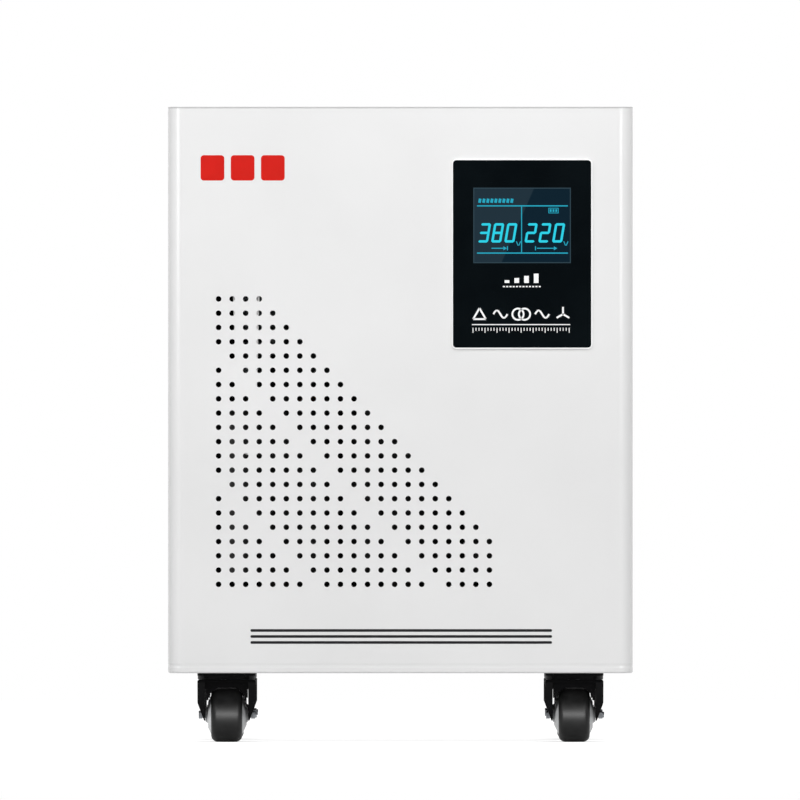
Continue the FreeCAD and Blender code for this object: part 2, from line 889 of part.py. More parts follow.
def coil_spacers():
    """Blocks that hold the coil ends off the clamps, and sticks that keep the duct open."""
    pieces = []
    half = s.block_width / 2
    stick = s.stick_width / 2
    for phase in PHASES:
        x = phase * s.limb_pitch
        for side in (-1, 1):
            for end in (-1, 1):
                for in_y, out_y, gap in (
                    (inner_in_y, inner_out_y, s.inner_end_gap),
                    (outer_in_y, clamp_out, s.outer_end_gap),
                ):
                    y0, y1 = (in_y, out_y) if side > 0 else (-out_y, -in_y)
                    if end < 0:
                        z0, z1 = yoke_z, yoke_z + gap
                    else:
                        z0, z1 = window_top_z - gap, window_top_z
                    pieces.append(box("coil_block", x - half, x + half, y0, y1, z0, z1))
                y0, y1 = (inner_out_y, outer_in_y) if side > 0 else (-outer_in_y, -inner_out_y)
                middle = x + end * inner_in_x / 2
                pieces.append(box("duct_stick", middle - stick, middle + stick, y0, y1,
                                  yoke_z + s.outer_end_gap, window_top_z - s.outer_end_gap))
    keep(group("coil_spacers", pieces), "coil_spacers")


tie_x = core_half + s.tie_offset
lower_tie_z = s.core_bottom + s.limb_width / 2
upper_tie_z = window_top_z + s.limb_width / 2
clamp_bolt_y = (stack_y + s.clamp_sheet + clamp_out) / 2
deck_bolt_y = s.deck_leg + s.deck_foot / 2
clamp_inner = stack_y


def clamp(label, side, bottom, tie_z, flange_bolts):
    """A steel channel along one yoke, its web on the core and its flanges outwards."""
    body = new_body(label + "_body")
    section = sketch_on(body, "YZ", -s.clamp_length / 2)
    web = clamp_inner + s.clamp_sheet
    top = bottom + s.limb_width
    points = (
        (clamp_inner, bottom),
        (clamp_out, bottom),
        (clamp_out, bottom + s.clamp_sheet),
        (web, bottom + s.clamp_sheet),
        (web, top - s.clamp_sheet),
        (clamp_out, top - s.clamp_sheet),
        (clamp_out, top),
        (clamp_inner, top),
    )
    polygon(section, [(side * y, z) for y, z in points])
    pad(body, section, s.clamp_length)
    tools = []
    tie_start = clamp_inner - s.clamp_sheet if side > 0 else -clamp_inner - 2 * s.clamp_sheet
    for end in (-1, 1):
        tools.append(punch(f"{label}_tie_{end}", s.tie_radius, 3 * s.clamp_sheet,
                           end * tie_x, tie_start, tie_z, ALONG_Y))
    for i, (x, y, z) in enumerate(flange_bolts):
        tools.append(punch(f"{label}_punch_{i}", s.bolt_radius, 3 * s.clamp_sheet,
                           x, y, z - s.clamp_sheet))
    keep(cut(label, body, group(label + "_tools", tools)), label)


def clamps():
    for side, where in ((-1, "front"), (1, "rear")):
        lower = [(end * rail_bolt_x, side * clamp_bolt_y, s.core_bottom) for end in (-1, 1)]
        upper = [
            (end * s.deck_bolt_across, side * deck_bolt_y, core_top - s.clamp_sheet)
            for end in (-1, 1)
        ]
        clamp(f"{where}_lower_clamp", side, s.core_bottom, lower_tie_z, lower)
        clamp(f"{where}_upper_clamp", side, window_top_z, upper_tie_z, upper)


def hex_bolt(name, x, y, seat, grip, head, radius, across, nut=None, spare=0, turn=None,
             along=(0, 0, 1)):
    """A bolt from its head's seat through its grip, with a nut run up tight on the far side."""
    corner = flats_radius(across / 2, HEX)
    far = -grip - (nut if nut else 0) - spare
    pieces = []

    def at(distance):
        return [dim(c) + a * distance for c, a in zip((x, y, seat), along)]

    pieces.append(prism(name + "_head", HEX, corner, head, *at(dim(0)), turn))
    pieces.append(prism(name + "_shank", SMALL_SIDES, radius, head / 2 - far, *at(far), turn))
    if nut:
        pieces.append(prism(name + "_nut", HEX, corner, nut, *at(-grip - nut), turn))
    return fused(name, pieces)


def clamp_bolts():
    """Long bolts that draw the clamps on to the yokes, past the ends of the core."""
    bolts = []
    web = clamp_inner + s.clamp_sheet
    for end in (-1, 1):
        for level in (lower_tie_z, upper_tie_z):
            bolts.append(hex_bolt("clamp_bolt", end * tie_x, web, level, 2 * web,
                                  s.bolt_head_height, s.tie_radius, s.bolt_head + 3,
                                  s.bolt_nut_height, s.bolt_spare, ALONG_Y, (0, 1, 0)))
    keep(group("clamp_bolts", bolts), "clamp_bolts")


def rail(label, side):
    """A channel from front to back that carries the core and its clamps."""
    body = new_body(label + "_body")
    section = sketch_on(body, "XZ", -s.rail_length / 2)
    outer_x = rail_inner_x + s.rail_width
    points = (
        (rail_inner_x, floor_z),
        (outer_x, floor_z),
        (outer_x, s.core_bottom),
        (rail_inner_x, s.core_bottom),
        (rail_inner_x, s.core_bottom - s.rail_sheet),
        (outer_x - s.rail_sheet, s.core_bottom - s.rail_sheet),
        (outer_x - s.rail_sheet, floor_z + s.rail_sheet),
        (rail_inner_x, floor_z + s.rail_sheet),
    )
    polygon(section, [(side * x, z) for x, z in points])
    pad(body, section, s.rail_length)
    tools = []
    for end in (-1, 1):
        tools.append(punch(f"{label}_low_{end}", s.bolt_radius, 3 * s.rail_sheet,
                           side * rail_bolt_x, end * rail_bolt_y, floor_z - s.rail_sheet))
        tools.append(punch(f"{label}_high_{end}", s.bolt_radius, 3 * s.rail_sheet,
                           side * rail_bolt_x, end * clamp_bolt_y,
                           s.core_bottom - 2 * s.rail_sheet))
    keep(cut(label, body, group(label + "_tools", tools)), label)


def frame_bolts():
    """The bolts of the rails and of the terminal deck. Those in the tray end flush with it."""
    common = (s.bolt_head_height, s.bolt_radius, s.bolt_head)
    bolts = []
    for x, y in rail_bolt_places:
        bolts.append(hex_bolt("rail_bolt", x, y, floor_z + s.rail_sheet,
                              s.rail_sheet + s.base_sheet, *common))
    for side in (-1, 1):
        for end in (-1, 1):
            bolts.append(hex_bolt("foot_bolt", end * rail_bolt_x, side * clamp_bolt_y,
                                  s.core_bottom + s.clamp_sheet, s.clamp_sheet + s.rail_sheet,
                                  *common, s.bolt_nut_height, s.bolt_spare))
            bolts.append(hex_bolt("deck_bolt", end * s.deck_bolt_across, side * deck_bolt_y,
                                  core_top + s.deck_sheet, s.clamp_sheet + s.deck_sheet,
                                  *common, s.bolt_nut_height, s.bolt_spare))
    keep(group("frame_bolts", bolts), "frame_bolts")


deck_z = core_top + s.deck_height
board_top = deck_z + s.board_height
bar_top = board_top + s.bar_thickness
board_near = s.board_gap / 2
stud_y = board_near + s.board_width / 2


def terminal_deck():
    """A folded bridge over the upper clamps that carries the terminal boards."""
    body = new_body("terminal_deck_body")
    section = sketch_on(body, "YZ", -s.deck_length / 2)
    leg = s.deck_leg
    inner = leg - s.deck_sheet
    foot = leg + s.deck_foot
    half = (
        (leg, deck_z),
        (leg, core_top + s.deck_sheet),
        (foot, core_top + s.deck_sheet),
        (foot, core_top),
        (inner, core_top),
        (inner, deck_z - s.deck_sheet),
    )
    polygon(section, list(half) + [(-y, z) for y, z in reversed(half)])
    pad(body, section, s.deck_length)
    tools = []
    for side in (-1, 1):
        for end in (-1, 1):
            tools.append(punch("deck_punch", s.bolt_radius, 3 * s.deck_sheet,
                               end * s.deck_bolt_across, side * deck_bolt_y,
                               core_top - s.deck_sheet))
    keep(cut("terminal_deck", body, group("deck_tools", tools)), "terminal_deck")


def terminal_board(label, side):
    """An insulating board with a fin between the studs of each pair of phases."""
    body = new_body(label + "_body")
    plan = sketch_on(body, "XY", deck_z)
    near = side * board_near
    far = side * (board_near + s.board_width)
    half = s.board_length / 2
    polygon(plan, ((-half, near), (half, near), (half, far), (-half, far)))
    pad(body, plan, s.board_height)
    fins = sketch_on(body, "XY", board_top)
    for end in (-1, 1):
        middle = end * s.limb_pitch / 2
        thin = s.fin_thickness / 2
        polygon(fins, (
            (middle - thin, near),
            (middle + thin, near),
            (middle + thin, far),
            (middle - thin, far),
        ))
    pad(body, fins, s.fin_height)
    tools = []
    for phase in PHASES:
        shift = s.supply_bar_shift if side > 0 else 0
        tools.append(punch(f"{label}_punch", s.stud_radius, s.stud_depth + 1,
                           phase * s.limb_pitch + shift, side * stud_y,
                           board_top - s.stud_depth))
    keep(cut(label, body, group(label + "_tools", tools)), label)


def terminal_studs():
    studs = []
    corner = flats_radius((s.bolt_head + 3) / 2, HEX)
    for side in (-1, 1):
        shift = s.supply_bar_shift if side > 0 else 0
        for phase in PHASES:
            x = phase * s.limb_pitch + shift
            shank = prism("stud_shank", SMALL_SIDES, s.stud_radius, s.stud_length,
                          x, side * stud_y, board_top - s.stud_depth)
            nut = prism("stud_nut", HEX, corner, s.bolt_nut_height, x, side * stud_y, bar_top)
            studs.append(fused("stud", [shank, nut]))
    keep(group("terminal_studs", studs), "terminal_studs")


def bar_set(label, side, shift, outline):
    """One flat copper bar for each phase, bent to the outline, with a hole for its stud."""
    bars = []
    for phase in PHASES:
        body = new_body(label + "_body")
        middle = phase * s.limb_pitch + shift
        section = sketch_on(body, "YZ", middle - s.bar_width / 2)
        polygon(section, outline)
        pad(body, section, s.bar_width)
        tool = punch(label + "_punch", s.stud_radius, 3 * s.bar_thickness, middle,
                     side * stud_y, board_top - s.bar_thickness)
        bars.append(cut(label + "_bar", body, tool))
    keep(group(label, bars), label)


def load_bars():
    """Bars from the front of the outer windings up to the load board."""
    inside = -outer_out_y
    outside = inside - s.bar_thickness
    end = -stud_y + s.bar_reach
    low = window_top_z - s.outer_end_gap - s.bar_tail
    bar_set("load_bars", -1, dim(0), (
        (outside, low),
        (inside, low),
        (inside, board_top),
        (end, board_top),
        (end, bar_top),
        (outside, bar_top),
    ))


def supply_bars():
    """Bars from the top of the inner windings, out past the clamp and up to the supply board."""
    start = inner_in_y + s.inner_build / 2
    rest = window_top_z - s.inner_end_gap
    inside = clamp_out + s.bar_stand_off
    outside = inside + s.bar_thickness
    end = stud_y - s.bar_reach
    bar_set("supply_bars", 1, s.supply_bar_shift, (
        (start, rest),
        (outside, rest),
        (outside, bar_top),
        (end, bar_top),
        (end, board_top),
        (inside, board_top),
        (inside, rest + s.bar_thickness),
        (start, rest + s.bar_thickness),
    ))


def soft_route(points):
    """A wire of straight runs joined by tangent arcs, each as wide as its two runs allow."""
    edges = []
    start = points[0]
    radii = []
    for i in range(1, len(points) - 1):
        corner = points[i]
        back = points[i - 1] - corner
        ahead = points[i + 1] - corner
        reach = 0.45 * min(back.Length, ahead.Length)
        half_turn = (math.pi - back.getAngle(ahead)) / 2
        radii.append(reach / math.tan(half_turn))
        back.normalize()
        ahead.normalize()
        enter = corner + back * reach
        leave = corner + ahead * reach
        inward = back + ahead
        inward.normalize()
        to_centre = radii[-1] / math.cos(half_turn)
        middle = corner + inward * (to_centre - radii[-1])
        edges.append(Part.LineSegment(start, enter).toShape())
        edges.append(Part.Arc(enter, middle, leave).toShape())
        start = leave
    edges.append(Part.LineSegment(start, points[-1]).toShape())
    print("display lead bend radii:", ", ".join(f"{r:.1f}" for r in radii))
    return Part.Wire(edges)


def display_lead():
    """The sleeved measuring lead from the load board to the display.

    It leaves the end of the board, comes forward, hangs in a narrow loop behind the vent holes
    and goes across to the side of the display's case.
    """
    board_end = -float(s.board_length) / 2
    board_y = -float(stud_y)
    lead_z = float(deck_z) + float(s.board_height) / 2
    behind = -float(inner_face_y) + float(s.lead_radius) + float(s.lead_clearance)
    case_x = float(collar_left + housing_inset)
    loop_x = float(s.vent_first_across)
    column = float(s.vent_pitch_across)
    vents_z = float(s.vent_first_up)
    row = float(s.vent_pitch_down)
    route = (
        (board_end, board_y, lead_z),
        (board_end - 20, board_y, lead_z),
        (board_end - 26, board_y - 40, lead_z + 8),
        (board_end - 26, board_y - 85, lead_z + 16),
        (loop_x + 1.1 * column, behind + 8, vents_z + 2.6 * row),
        (loop_x + 1.15 * column, behind, vents_z),
        (loop_x + 1.35 * column, behind, vents_z - 4.5 * row),
        (loop_x + 1.65 * column, behind, vents_z - 9 * row),
        (loop_x + 1.8 * column, behind, vents_z - 10.8 * row),
        (loop_x + 2.55 * column, behind + 0.5, vents_z - 10.9 * row),
        (loop_x + 2.65 * column, behind, vents_z - 9 * row),
        (loop_x + 2.8 * column, behind, vents_z - 4.5 * row),
        (loop_x + 2.9 * column, behind, vents_z),
        (loop_x + 3.3 * column, behind + 6, vents_z + 3.4 * row),
        (loop_x + 6.5 * column, behind + 16, vents_z + 5.2 * row),
        (loop_x + 11 * column, behind + 20, vents_z + 5 * row),
        (case_x - 22, behind + 14, vents_z + 4 * row),
        (case_x, behind + 14, vents_z + 4 * row),
    )
    wire = soft_route([FreeCAD.Vector(*point) for point in route])
    first = wire.Edges[0]
    tangent = first.tangentAt(first.FirstParameter)
    ring = []
    across = tangent.cross(FreeCAD.Vector(0, 0, 1)).normalize()
    upward = across.cross(tangent).normalize()
    for i in range(HEX + 1):
        angle = 2 * math.pi * i / HEX
        offset = across * math.cos(angle) + upward * math.sin(angle)
        ring.append(FreeCAD.Vector(*route[0]) + offset * float(s.lead_radius))
    tube = wire.makePipeShell([Part.makePolygon(ring)], True, False)
    feature = doc.addObject("Part::Feature", "display_lead")
    feature.Shape = tube
    keep(feature, "display_lead")


# Heights of one caster, from the plate on the tray down to the floor.
plate_z = base_z - s.plate_sheet
race_z = plate_z - s.race_drop
crown_z = race_z - s.running_gap
crown_under = crown_z - s.fork_sheet


def caster_plate(number, x, y):
    """The top plate with its ball race, and a round dust skirt down to the fork's crown."""
    body = new_body(f"caster_plate_{number}_blank")
    half = s.plate_size / 2
    plan = sketch_on(body, "XY", plate_z)
    rounded_rectangle(plan, -half, half, -half, half, s.plate_corner)
    recess = s.race_radius - s.race_sheet
    circle(plan, 0, 0, recess)
    pad(body, plan, s.plate_sheet)
    section = sketch_on(body, "XZ")
    hole = s.kingpin_radius + s.bore_clearance
    polygon(section, (
        (hole, race_z),
        (s.race_radius, race_z),
        (s.race_radius, plate_z),
        (recess, plate_z),
        (recess, race_z + s.race_sheet),
        (hole, race_z + s.race_sheet),
    ))
    skirt = half - s.skirt_edge
    polygon(section, (
        (skirt - s.skirt_wall, race_z),
        (skirt, race_z),
        (skirt, plate_z),
        (skirt - s.skirt_wall, plate_z),
    ))
    turned(body, section, "V_Axis")
    place(body, x, y, 0)
    reach = s.plate_bolt_spread / 2
    tools = []
    for dx in (-1, 1):
        for dy in (-1, 1):
            tools.append(punch(f"plate_punch_{number}", s.caster_bolt_radius,
                               3 * s.plate_sheet, x + dx * reach, y + dy * reach,
                               plate_z - s.plate_sheet))
    label = f"caster_plate_{number}"
    keep(cut(label, body, group(f"plate_tools_{number}", tools)), label)


def caster_bolts():
    """Studs that end flush in the caster plates, with their nuts on the tray."""
    bolts = []
    corner = flats_radius(s.caster_nut / 2, HEX)
    grip = s.plate_sheet + s.base_sheet
    for x, y in caster_bolt_places():
        shank = prism("caster_shank", SMALL_SIDES, s.caster_bolt_radius,
                      grip + s.caster_nut_height + s.bolt_spare, x, y, plate_z)
        nut = prism("caster_nut", HEX, corner, s.caster_nut_height, x, y, plate_z + grip)
        bolts.append(fused("caster_bolt", [shank, nut]))
    keep(group("caster_bolts", bolts), "caster_bolts")


def kingpin(number, x, y):
    body = new_body(f"kingpin_{number}_body")
    section = sketch_on(body, "XZ")
    seat = race_z + s.race_sheet
    head_top = seat + s.kingpin_head_height
    foot_top = crown_under - s.running_gap
    foot = foot_top - s.kingpin_foot_height
    polygon(section, (
        (0, foot),
        (s.kingpin_foot, foot),
        (s.kingpin_foot, foot_top),
        (s.kingpin_radius, foot_top),
        (s.kingpin_radius, seat),
        (s.kingpin_head, seat),
        (s.kingpin_head, head_top),
        (0, head_top),
    ))
    turned(body, section, "V_Axis")
    place(body, x, y, 0)
    keep(body, f"kingpin_{number}")


def fork_edge(z, front, inset=0):
    """Where the front or rear edge of a fork leg lies at a height, seen from the side."""
    drop = (crown_under - z) / (crown_under - s.fork_tip)
    if front:
        top, toe = -s.fork_front, s.trail - s.fork_toe_front
        return top + (toe - top) * drop + inset
    top, toe = s.fork_rear, s.trail + s.fork_toe_rear
    return top + (toe - top) * drop - inset


def fork(number, x, y):
    """A pressed fork: a crown with an arched front wall, two flanged legs that lean back by the
    trail, and a short cheek beside each face of the wheel, thicker above the rim."""
    body = new_body(f"fork_{number}_body")
    half = s.fork_width / 2
    gap = s.fork_gap / 2
    tip = s.fork_tip_width / 2
    front = sketch_on(body, "XZ", -s.fork_front)
    outline = (
        (half, crown_z),
        (half, s.fork_knee),
        (tip, s.fork_tip),
        (gap, s.fork_tip),
        (gap, crown_under),
    )
    polygon(front, list(outline) + [(-px, pz) for px, pz in reversed(outline)])
    depth = s.fork_front + s.trail + s.fork_toe_rear
    block = pad(body, front, depth)
    rounded(body, block, s.crown_round, lambda middle, edge: (
        abs(middle.z - float(crown_z)) < 0.01 and abs(abs(middle.x) - float(half)) < 0.01
    ))
    below = s.fork_tip - 1
    trim = sketch_on(body, "YZ", -half - 1)
    ahead = -s.fork_front - 1
    polygon(trim, (
        (ahead, below),
        (fork_edge(below, True), below),
        (fork_edge(crown_under, True), crown_under),
        (ahead, crown_under),
    ))
    behind = s.trail + s.fork_toe_rear + 1
    polygon(trim, (
        (fork_edge(below, False), below),
        (behind, below),
        (behind, crown_z + 1),
        (s.fork_rear, crown_z + 1),
        (fork_edge(crown_under, False), crown_under),
    ))
    legs = pocket(body, trim, s.fork_width + 2)
    tips = rounded(body, legs, s.fork_round, lambda middle, edge: (
        abs(middle.z - float(s.fork_tip)) < 0.01
        and edge.BoundBox.YLength < 0.01
        and edge.BoundBox.XLength > 0.1
    ))
    web = gap + s.fork_sheet
    top = crown_under - s.fork_sheet
    for at in (web, -half - 1):
        dish = sketch_on(body, "YZ", at)
        polygon(dish, (
            (fork_edge(below, True, s.fork_sheet), below),
            (fork_edge(below, False, s.fork_sheet), below),
            (fork_edge(top, False, s.fork_sheet), top),
            (fork_edge(top, True, s.fork_sheet), top),
        ))
        pocket(body, dish, half + 1 - web)
    arch = sketch_on(body, "XZ", -s.fork_front + s.arch_back)
    cheek_outer = s.cheek_inner + s.cheek_sheet
    arch_half = (
        (gap, crown_under),
        (gap, s.arch_foot),
        (cheek_outer, s.arch_foot),
        (cheek_outer, s.arch_ear),
        (s.arch_ear_x, s.arch_ear),
        (s.arch_shoulder_x, s.arch_shoulder),
        (s.arch_crown_x, s.arch_crown),
    )
    polygon(arch, list(arch_half) + [(-px, pz) for px, pz in reversed(arch_half)])
    pad(body, arch, s.fork_sheet)
    for inner, outer, low in (
        (s.cheek_inner, cheek_outer, s.cheek_low),
        (s.liner_inner, s.cheek_inner, s.liner_low),
    ):
        for at in (inner, -outer):
            cheek = sketch_on(body, "YZ", at)
            polygon(cheek, (
                (fork_edge(crown_under, True, s.arch_back), crown_under),
                (fork_edge(low, True, s.fork_sheet), low),
                (fork_edge(low, False, s.fork_sheet), low),
                (fork_edge(crown_under, False, s.fork_sheet), crown_under),
            ))
            pad(body, cheek, outer - inner)
    bore = sketch_on(body, "XY", crown_under - 1)
    circle(bore, 0, 0, s.kingpin_radius + s.bore_clearance)
    pocket(body, bore, s.fork_sheet + 2)
    eye = sketch_on(body, "YZ", -half - 1)
    circle(eye, s.trail, s.wheel_radius, s.axle_radius + s.bore_clearance)
    pocket(body, eye, s.fork_width + 2)
    place(body, x, y, 0)
    keep(body, f"fork_{number}")


def axle(number, x, y):
    """The axle bolt through both legs, with its head on the left and its nut on the right."""
    web = s.fork_gap / 2 + s.fork_sheet
    corner = flats_radius(s.axle_head / 2, HEX)
    line = (y + s.trail, s.wheel_radius, ALONG_X)
    end = s.axle_nut_height + s.axle_end
    head = prism(f"axle_head_{number}", HEX, corner, s.axle_head_height,
                 x - web - s.axle_head_height, *line)
    nut = prism(f"axle_nut_{number}", HEX, corner, s.axle_nut_height, x + web, *line)
    shank = doc.addObject("Part::Cylinder", f"axle_shank_{number}")
    bind(shank, Radius=s.axle_radius, Height=2 * web + s.axle_head_height / 2)
    place(shank, x - web - s.axle_head_height / 2, *line)
    thread = doc.addObject("Part::Cylinder", f"axle_thread_{number}")
    bind(thread, Radius=s.axle_radius - s.running_gap, Height=end)
    place(thread, x + web, *line)
    keep(fused(f"axle_{number}", [head, shank, thread, nut]), f"axle_{number}")


def hub(number, x, y):
    """The wheel's core: a rim under the tread, domed sides and a long boss on the axle."""
    body = new_body(f"hub_{number}_body")
    section = sketch_on(body, "XZ")
    rim_x = s.wheel_width / 2
    dome_x = rim_x + s.hub_bulge
    boss_x = s.fork_gap / 2 - s.running_gap
    half = (
        (boss_x, s.axle_radius + s.bore_clearance),
        (boss_x, s.hub_boss_radius),
        (dome_x, s.hub_boss_root),
        (dome_x, s.hub_bulge_radius),
        (rim_x, s.rim_radius),
    )
    polygon(section, list(half) + [(-px, pr) for px, pr in reversed(half)])
    turned(body, section, "H_Axis")
    place(body, x, y + s.trail, s.wheel_radius)
    keep(body, f"hub_{number}")


SHOULDER_STEPS = 3


def tyre(number, x, y):
    """The tread ring, with a round shoulder on each side drawn in a few short steps."""
    body = new_body(f"tyre_{number}_body")
    section = sketch_on(body, "XZ")
    half = s.wheel_width / 2
    inner = s.rim_radius + s.bore_clearance
    right = [(half, inner)]
    for i in range(SHOULDER_STEPS + 1):
        angle = math.pi / 2 * i / SHOULDER_STEPS
        right.append((
            half - s.tread_shoulder * (1 - math.cos(angle)),
            s.wheel_radius - s.tread_shoulder * (1 - math.sin(angle)),
        ))
    polygon(section, right + [(-px, pr) for px, pr in reversed(right)])
    turned(body, section, "H_Axis")
    place(body, x, y + s.trail, s.wheel_radius)
    keep(body, f"tyre_{number}")


def casters():
    for number, (x, y) in enumerate(caster_places, start=1):
        caster_plate(number, x, y)
        kingpin(number, x, y)
        fork(number, x, y)
        axle(number, x, y)
        hub(number, x, y)
        tyre(number, x, y)
    caster_bolts()


base_pan()
front_panel()
rear_panel()
rear_screws()
side_panel("left_side_panel", -1)
side_panel("right_side_panel", 1)
top_cover()
display_panel()
display_window()
display_housing()
grommet("supply_grommet", -1)
grommet("load_grommet", 1)
core()
windings()
coil_spacers()
clamps()
clamp_bolts()
rail("left_rail", -1)
rail("right_rail", 1)
frame_bolts()
terminal_deck()
terminal_board("load_board", -1)
terminal_board("supply_board", 1)
terminal_studs()
load_bars()
supply_bars()
display_lead()
casters()
doc.recompute()

for obj in doc.Objects:
    if "Invalid" in obj.State or "Error" in obj.State:
        raise RuntimeError(f"{obj.Label} did not rebuild: {obj.State}")
for obj in nodes:
    if obj.Shape.isNull() or not obj.Shape.isValid() or not obj.Shape.Solids:
        raise RuntimeError(f"{obj.Label} has no valid solid")

os.makedirs("parts", exist_ok=True)
for obj in nodes:
    obj.Shape.exportStep(f"parts/{obj.Label}.step")
print(len(nodes), "sub-parts written")
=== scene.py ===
import math

import bmesh
import bpy
from bmesh.types import BMEdge, BMVert
from mathutils import Matrix, Vector


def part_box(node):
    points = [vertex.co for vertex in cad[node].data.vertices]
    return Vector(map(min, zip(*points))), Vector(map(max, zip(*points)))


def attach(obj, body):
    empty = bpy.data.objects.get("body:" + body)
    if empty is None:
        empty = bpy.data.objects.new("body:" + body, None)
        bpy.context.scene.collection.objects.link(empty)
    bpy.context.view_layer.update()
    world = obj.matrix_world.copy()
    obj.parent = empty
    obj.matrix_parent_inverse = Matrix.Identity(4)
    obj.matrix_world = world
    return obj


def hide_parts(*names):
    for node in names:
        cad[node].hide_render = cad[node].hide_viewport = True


# Looks of a three-phase dry-type transformer in a white sheet-steel cabinet on casters.
# Lengths are millimetres, apart from the studio's, which are metres. +Z is up, and the front
# faces -Y.

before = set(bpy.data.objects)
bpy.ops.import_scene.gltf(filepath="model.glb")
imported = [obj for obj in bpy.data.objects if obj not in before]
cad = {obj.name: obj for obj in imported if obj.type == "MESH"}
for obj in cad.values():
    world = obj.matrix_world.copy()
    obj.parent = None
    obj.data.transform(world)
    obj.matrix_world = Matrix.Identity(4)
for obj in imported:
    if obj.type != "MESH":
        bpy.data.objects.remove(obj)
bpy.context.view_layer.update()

MM = 0.001
# Places nearer than this are one place, and vertices nearer than MERGE are made one.
NEAR = 0.01
MERGE = 0.001
# An edge that turns by more than this, in radians, is a sharp one.
SHARP = 1.2


def extent(node):
    """The lowest and the highest corner of a node, in millimetres."""
    return [Vector([round(c / MM, 2) for c in corner]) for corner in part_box(node)]


FRONT_MIN, FRONT_MAX = extent("front_panel")
COVER_MIN, COVER_MAX = extent("top_cover")
BEZEL_MIN, BEZEL_MAX = extent("display_panel")
PANE_MIN, PANE_MAX = extent("display_window")
PAN_LOW = extent("base_pan")[0].z

# Half the cabinet's width and depth, the round of its upright corners, how far the front sheet
# returns along the sides, and the thickness of its sheets.
SIDE_X = FRONT_MAX.x
FACE_Y = -FRONT_MIN.y
BEND = 14
RETURN = FRONT_MAX.y - FRONT_MIN.y
SHEET = COVER_MAX.z - FRONT_MAX.z


# Materials

def linear(colour):
    """An sRGB hex value as a linear colour."""
    parts = []
    for i in (1, 3, 5):
        c = int(colour[i:i + 2], 16) / 255
        parts.append(c / 12.92 if c <= 0.04045 else ((c + 0.055) / 1.055) ** 2.4)
    return (*parts, 1.0)


def add(tree, kind, inputs=None, **settings):
    """Adds one node; an input is a value, or the output of another node."""
    made = tree.nodes.new("ShaderNode" + kind)
    for name, value in settings.items():
        setattr(made, name, value)
    for name, value in (inputs or {}).items():
        if isinstance(value, bpy.types.NodeSocket):
            tree.links.new(value, made.inputs[name])
        else:
            made.inputs[name].default_value = value
    return made


def blank(name):
    """A material with no nodes."""
    material = bpy.data.materials.new(name)
    material.use_nodes = True
    tree = material.node_tree
    tree.nodes.clear()
    return material, tree


def per(size):
    """The scale of a noise whose grains are this many millimetres across."""
    return 1 / (size * MM)


def bands(pitch):
    """The scale of a wave whose bands are this many millimetres apart."""
    return math.pi / 10 / (pitch * MM)


# The space inside the cabinet's sheets: its middle, half its size without the round of its
# upright corners and a little into the roof and the tray, and that round as far as the middle of
# the sheet.
CABIN_MID = Vector((0, 0, (FRONT_MIN.z + FRONT_MAX.z) / 2))
CABIN_CORE = Vector((SIDE_X - BEND, FACE_Y - BEND, (FRONT_MAX.z - FRONT_MIN.z) / 2 + 0.3))
CABIN_ROUND = BEND - 0.8
# The ceiling and the floor are flat: any reach past them counts as outside.
CABIN_STEEP = (1, 1, 1000)


def within_cabin(tree, place):
    """1 inside the cabinet's sheets and 0 on their outer faces; it masks the painted shade
    inside.
    """
    from_mid = add(tree, "VectorMath", {0: place, 1: CABIN_MID * MM}, operation="SUBTRACT")
    reach = add(tree, "VectorMath", {0: from_mid.outputs["Vector"]}, operation="ABSOLUTE")
    past = add(tree, "VectorMath", {0: reach.outputs["Vector"], 1: CABIN_CORE * MM},
               operation="SUBTRACT")
    past = add(tree, "VectorMath", {0: past.outputs["Vector"], 1: (0, 0, 0)},
               operation="MAXIMUM")
    past = add(tree, "VectorMath", {0: past.outputs["Vector"], 1: CABIN_STEEP},
               operation="MULTIPLY")
    far = add(tree, "VectorMath", {0: past.outputs["Vector"]}, operation="LENGTH")
    return add(tree, "Math", {0: far.outputs["Value"], 1: CABIN_ROUND * MM},
               operation="LESS_THAN").outputs["Value"]


def mottled(name, dark, light, patch, grain, depth, shader, inner_shade=None):
    """A finish with two close tones in soft patches, and a fine relief.

    patch is the size of the patches and grain that of the relief, in millimetres; depth is the
    relief's height in millimetres; shader holds the plain values of the shader's sockets;
    inner_shade is a painted shade: the colour of the faces that are inside the cabinet.
    """
    material, tree = blank(name)
    place = add(tree, "TexCoord").outputs["Object"]
    cloud = add(tree, "TexNoise", {"Vector": place, "Scale": per(patch), "Detail": 3.0})
    tone = add(tree, "ValToRGB", {"Fac": cloud.outputs["Fac"]})
    tone.color_ramp.elements[0].position = 0.35
    tone.color_ramp.elements[0].color = linear(dark)
    tone.color_ramp.elements[1].position = 0.65
    tone.color_ramp.elements[1].color = linear(light)
    relief = add(tree, "TexNoise", {"Vector": place, "Scale": per(grain), "Detail": 2.0})
    bump = add(tree, "Bump", {"Height": relief.outputs["Fac"], "Distance": depth * MM,
                              "Strength": 1.0})
    colour = tone.outputs["Color"]
    # Painted shade: near black on the faces inside the cabinet.
    if inner_shade:
        colour = add(tree, "MixRGB", {"Fac": within_cabin(tree, place), "Color1": colour,
                                      "Color2": linear(inner_shade)}).outputs["Color"]
    body = add(tree, "BsdfPrincipled", {"Base Color": colour,
                                        "Normal": bump.outputs["Normal"], **shader})
    add(tree, "OutputMaterial", {"Surface": body.outputs["BSDF"]})
    return material


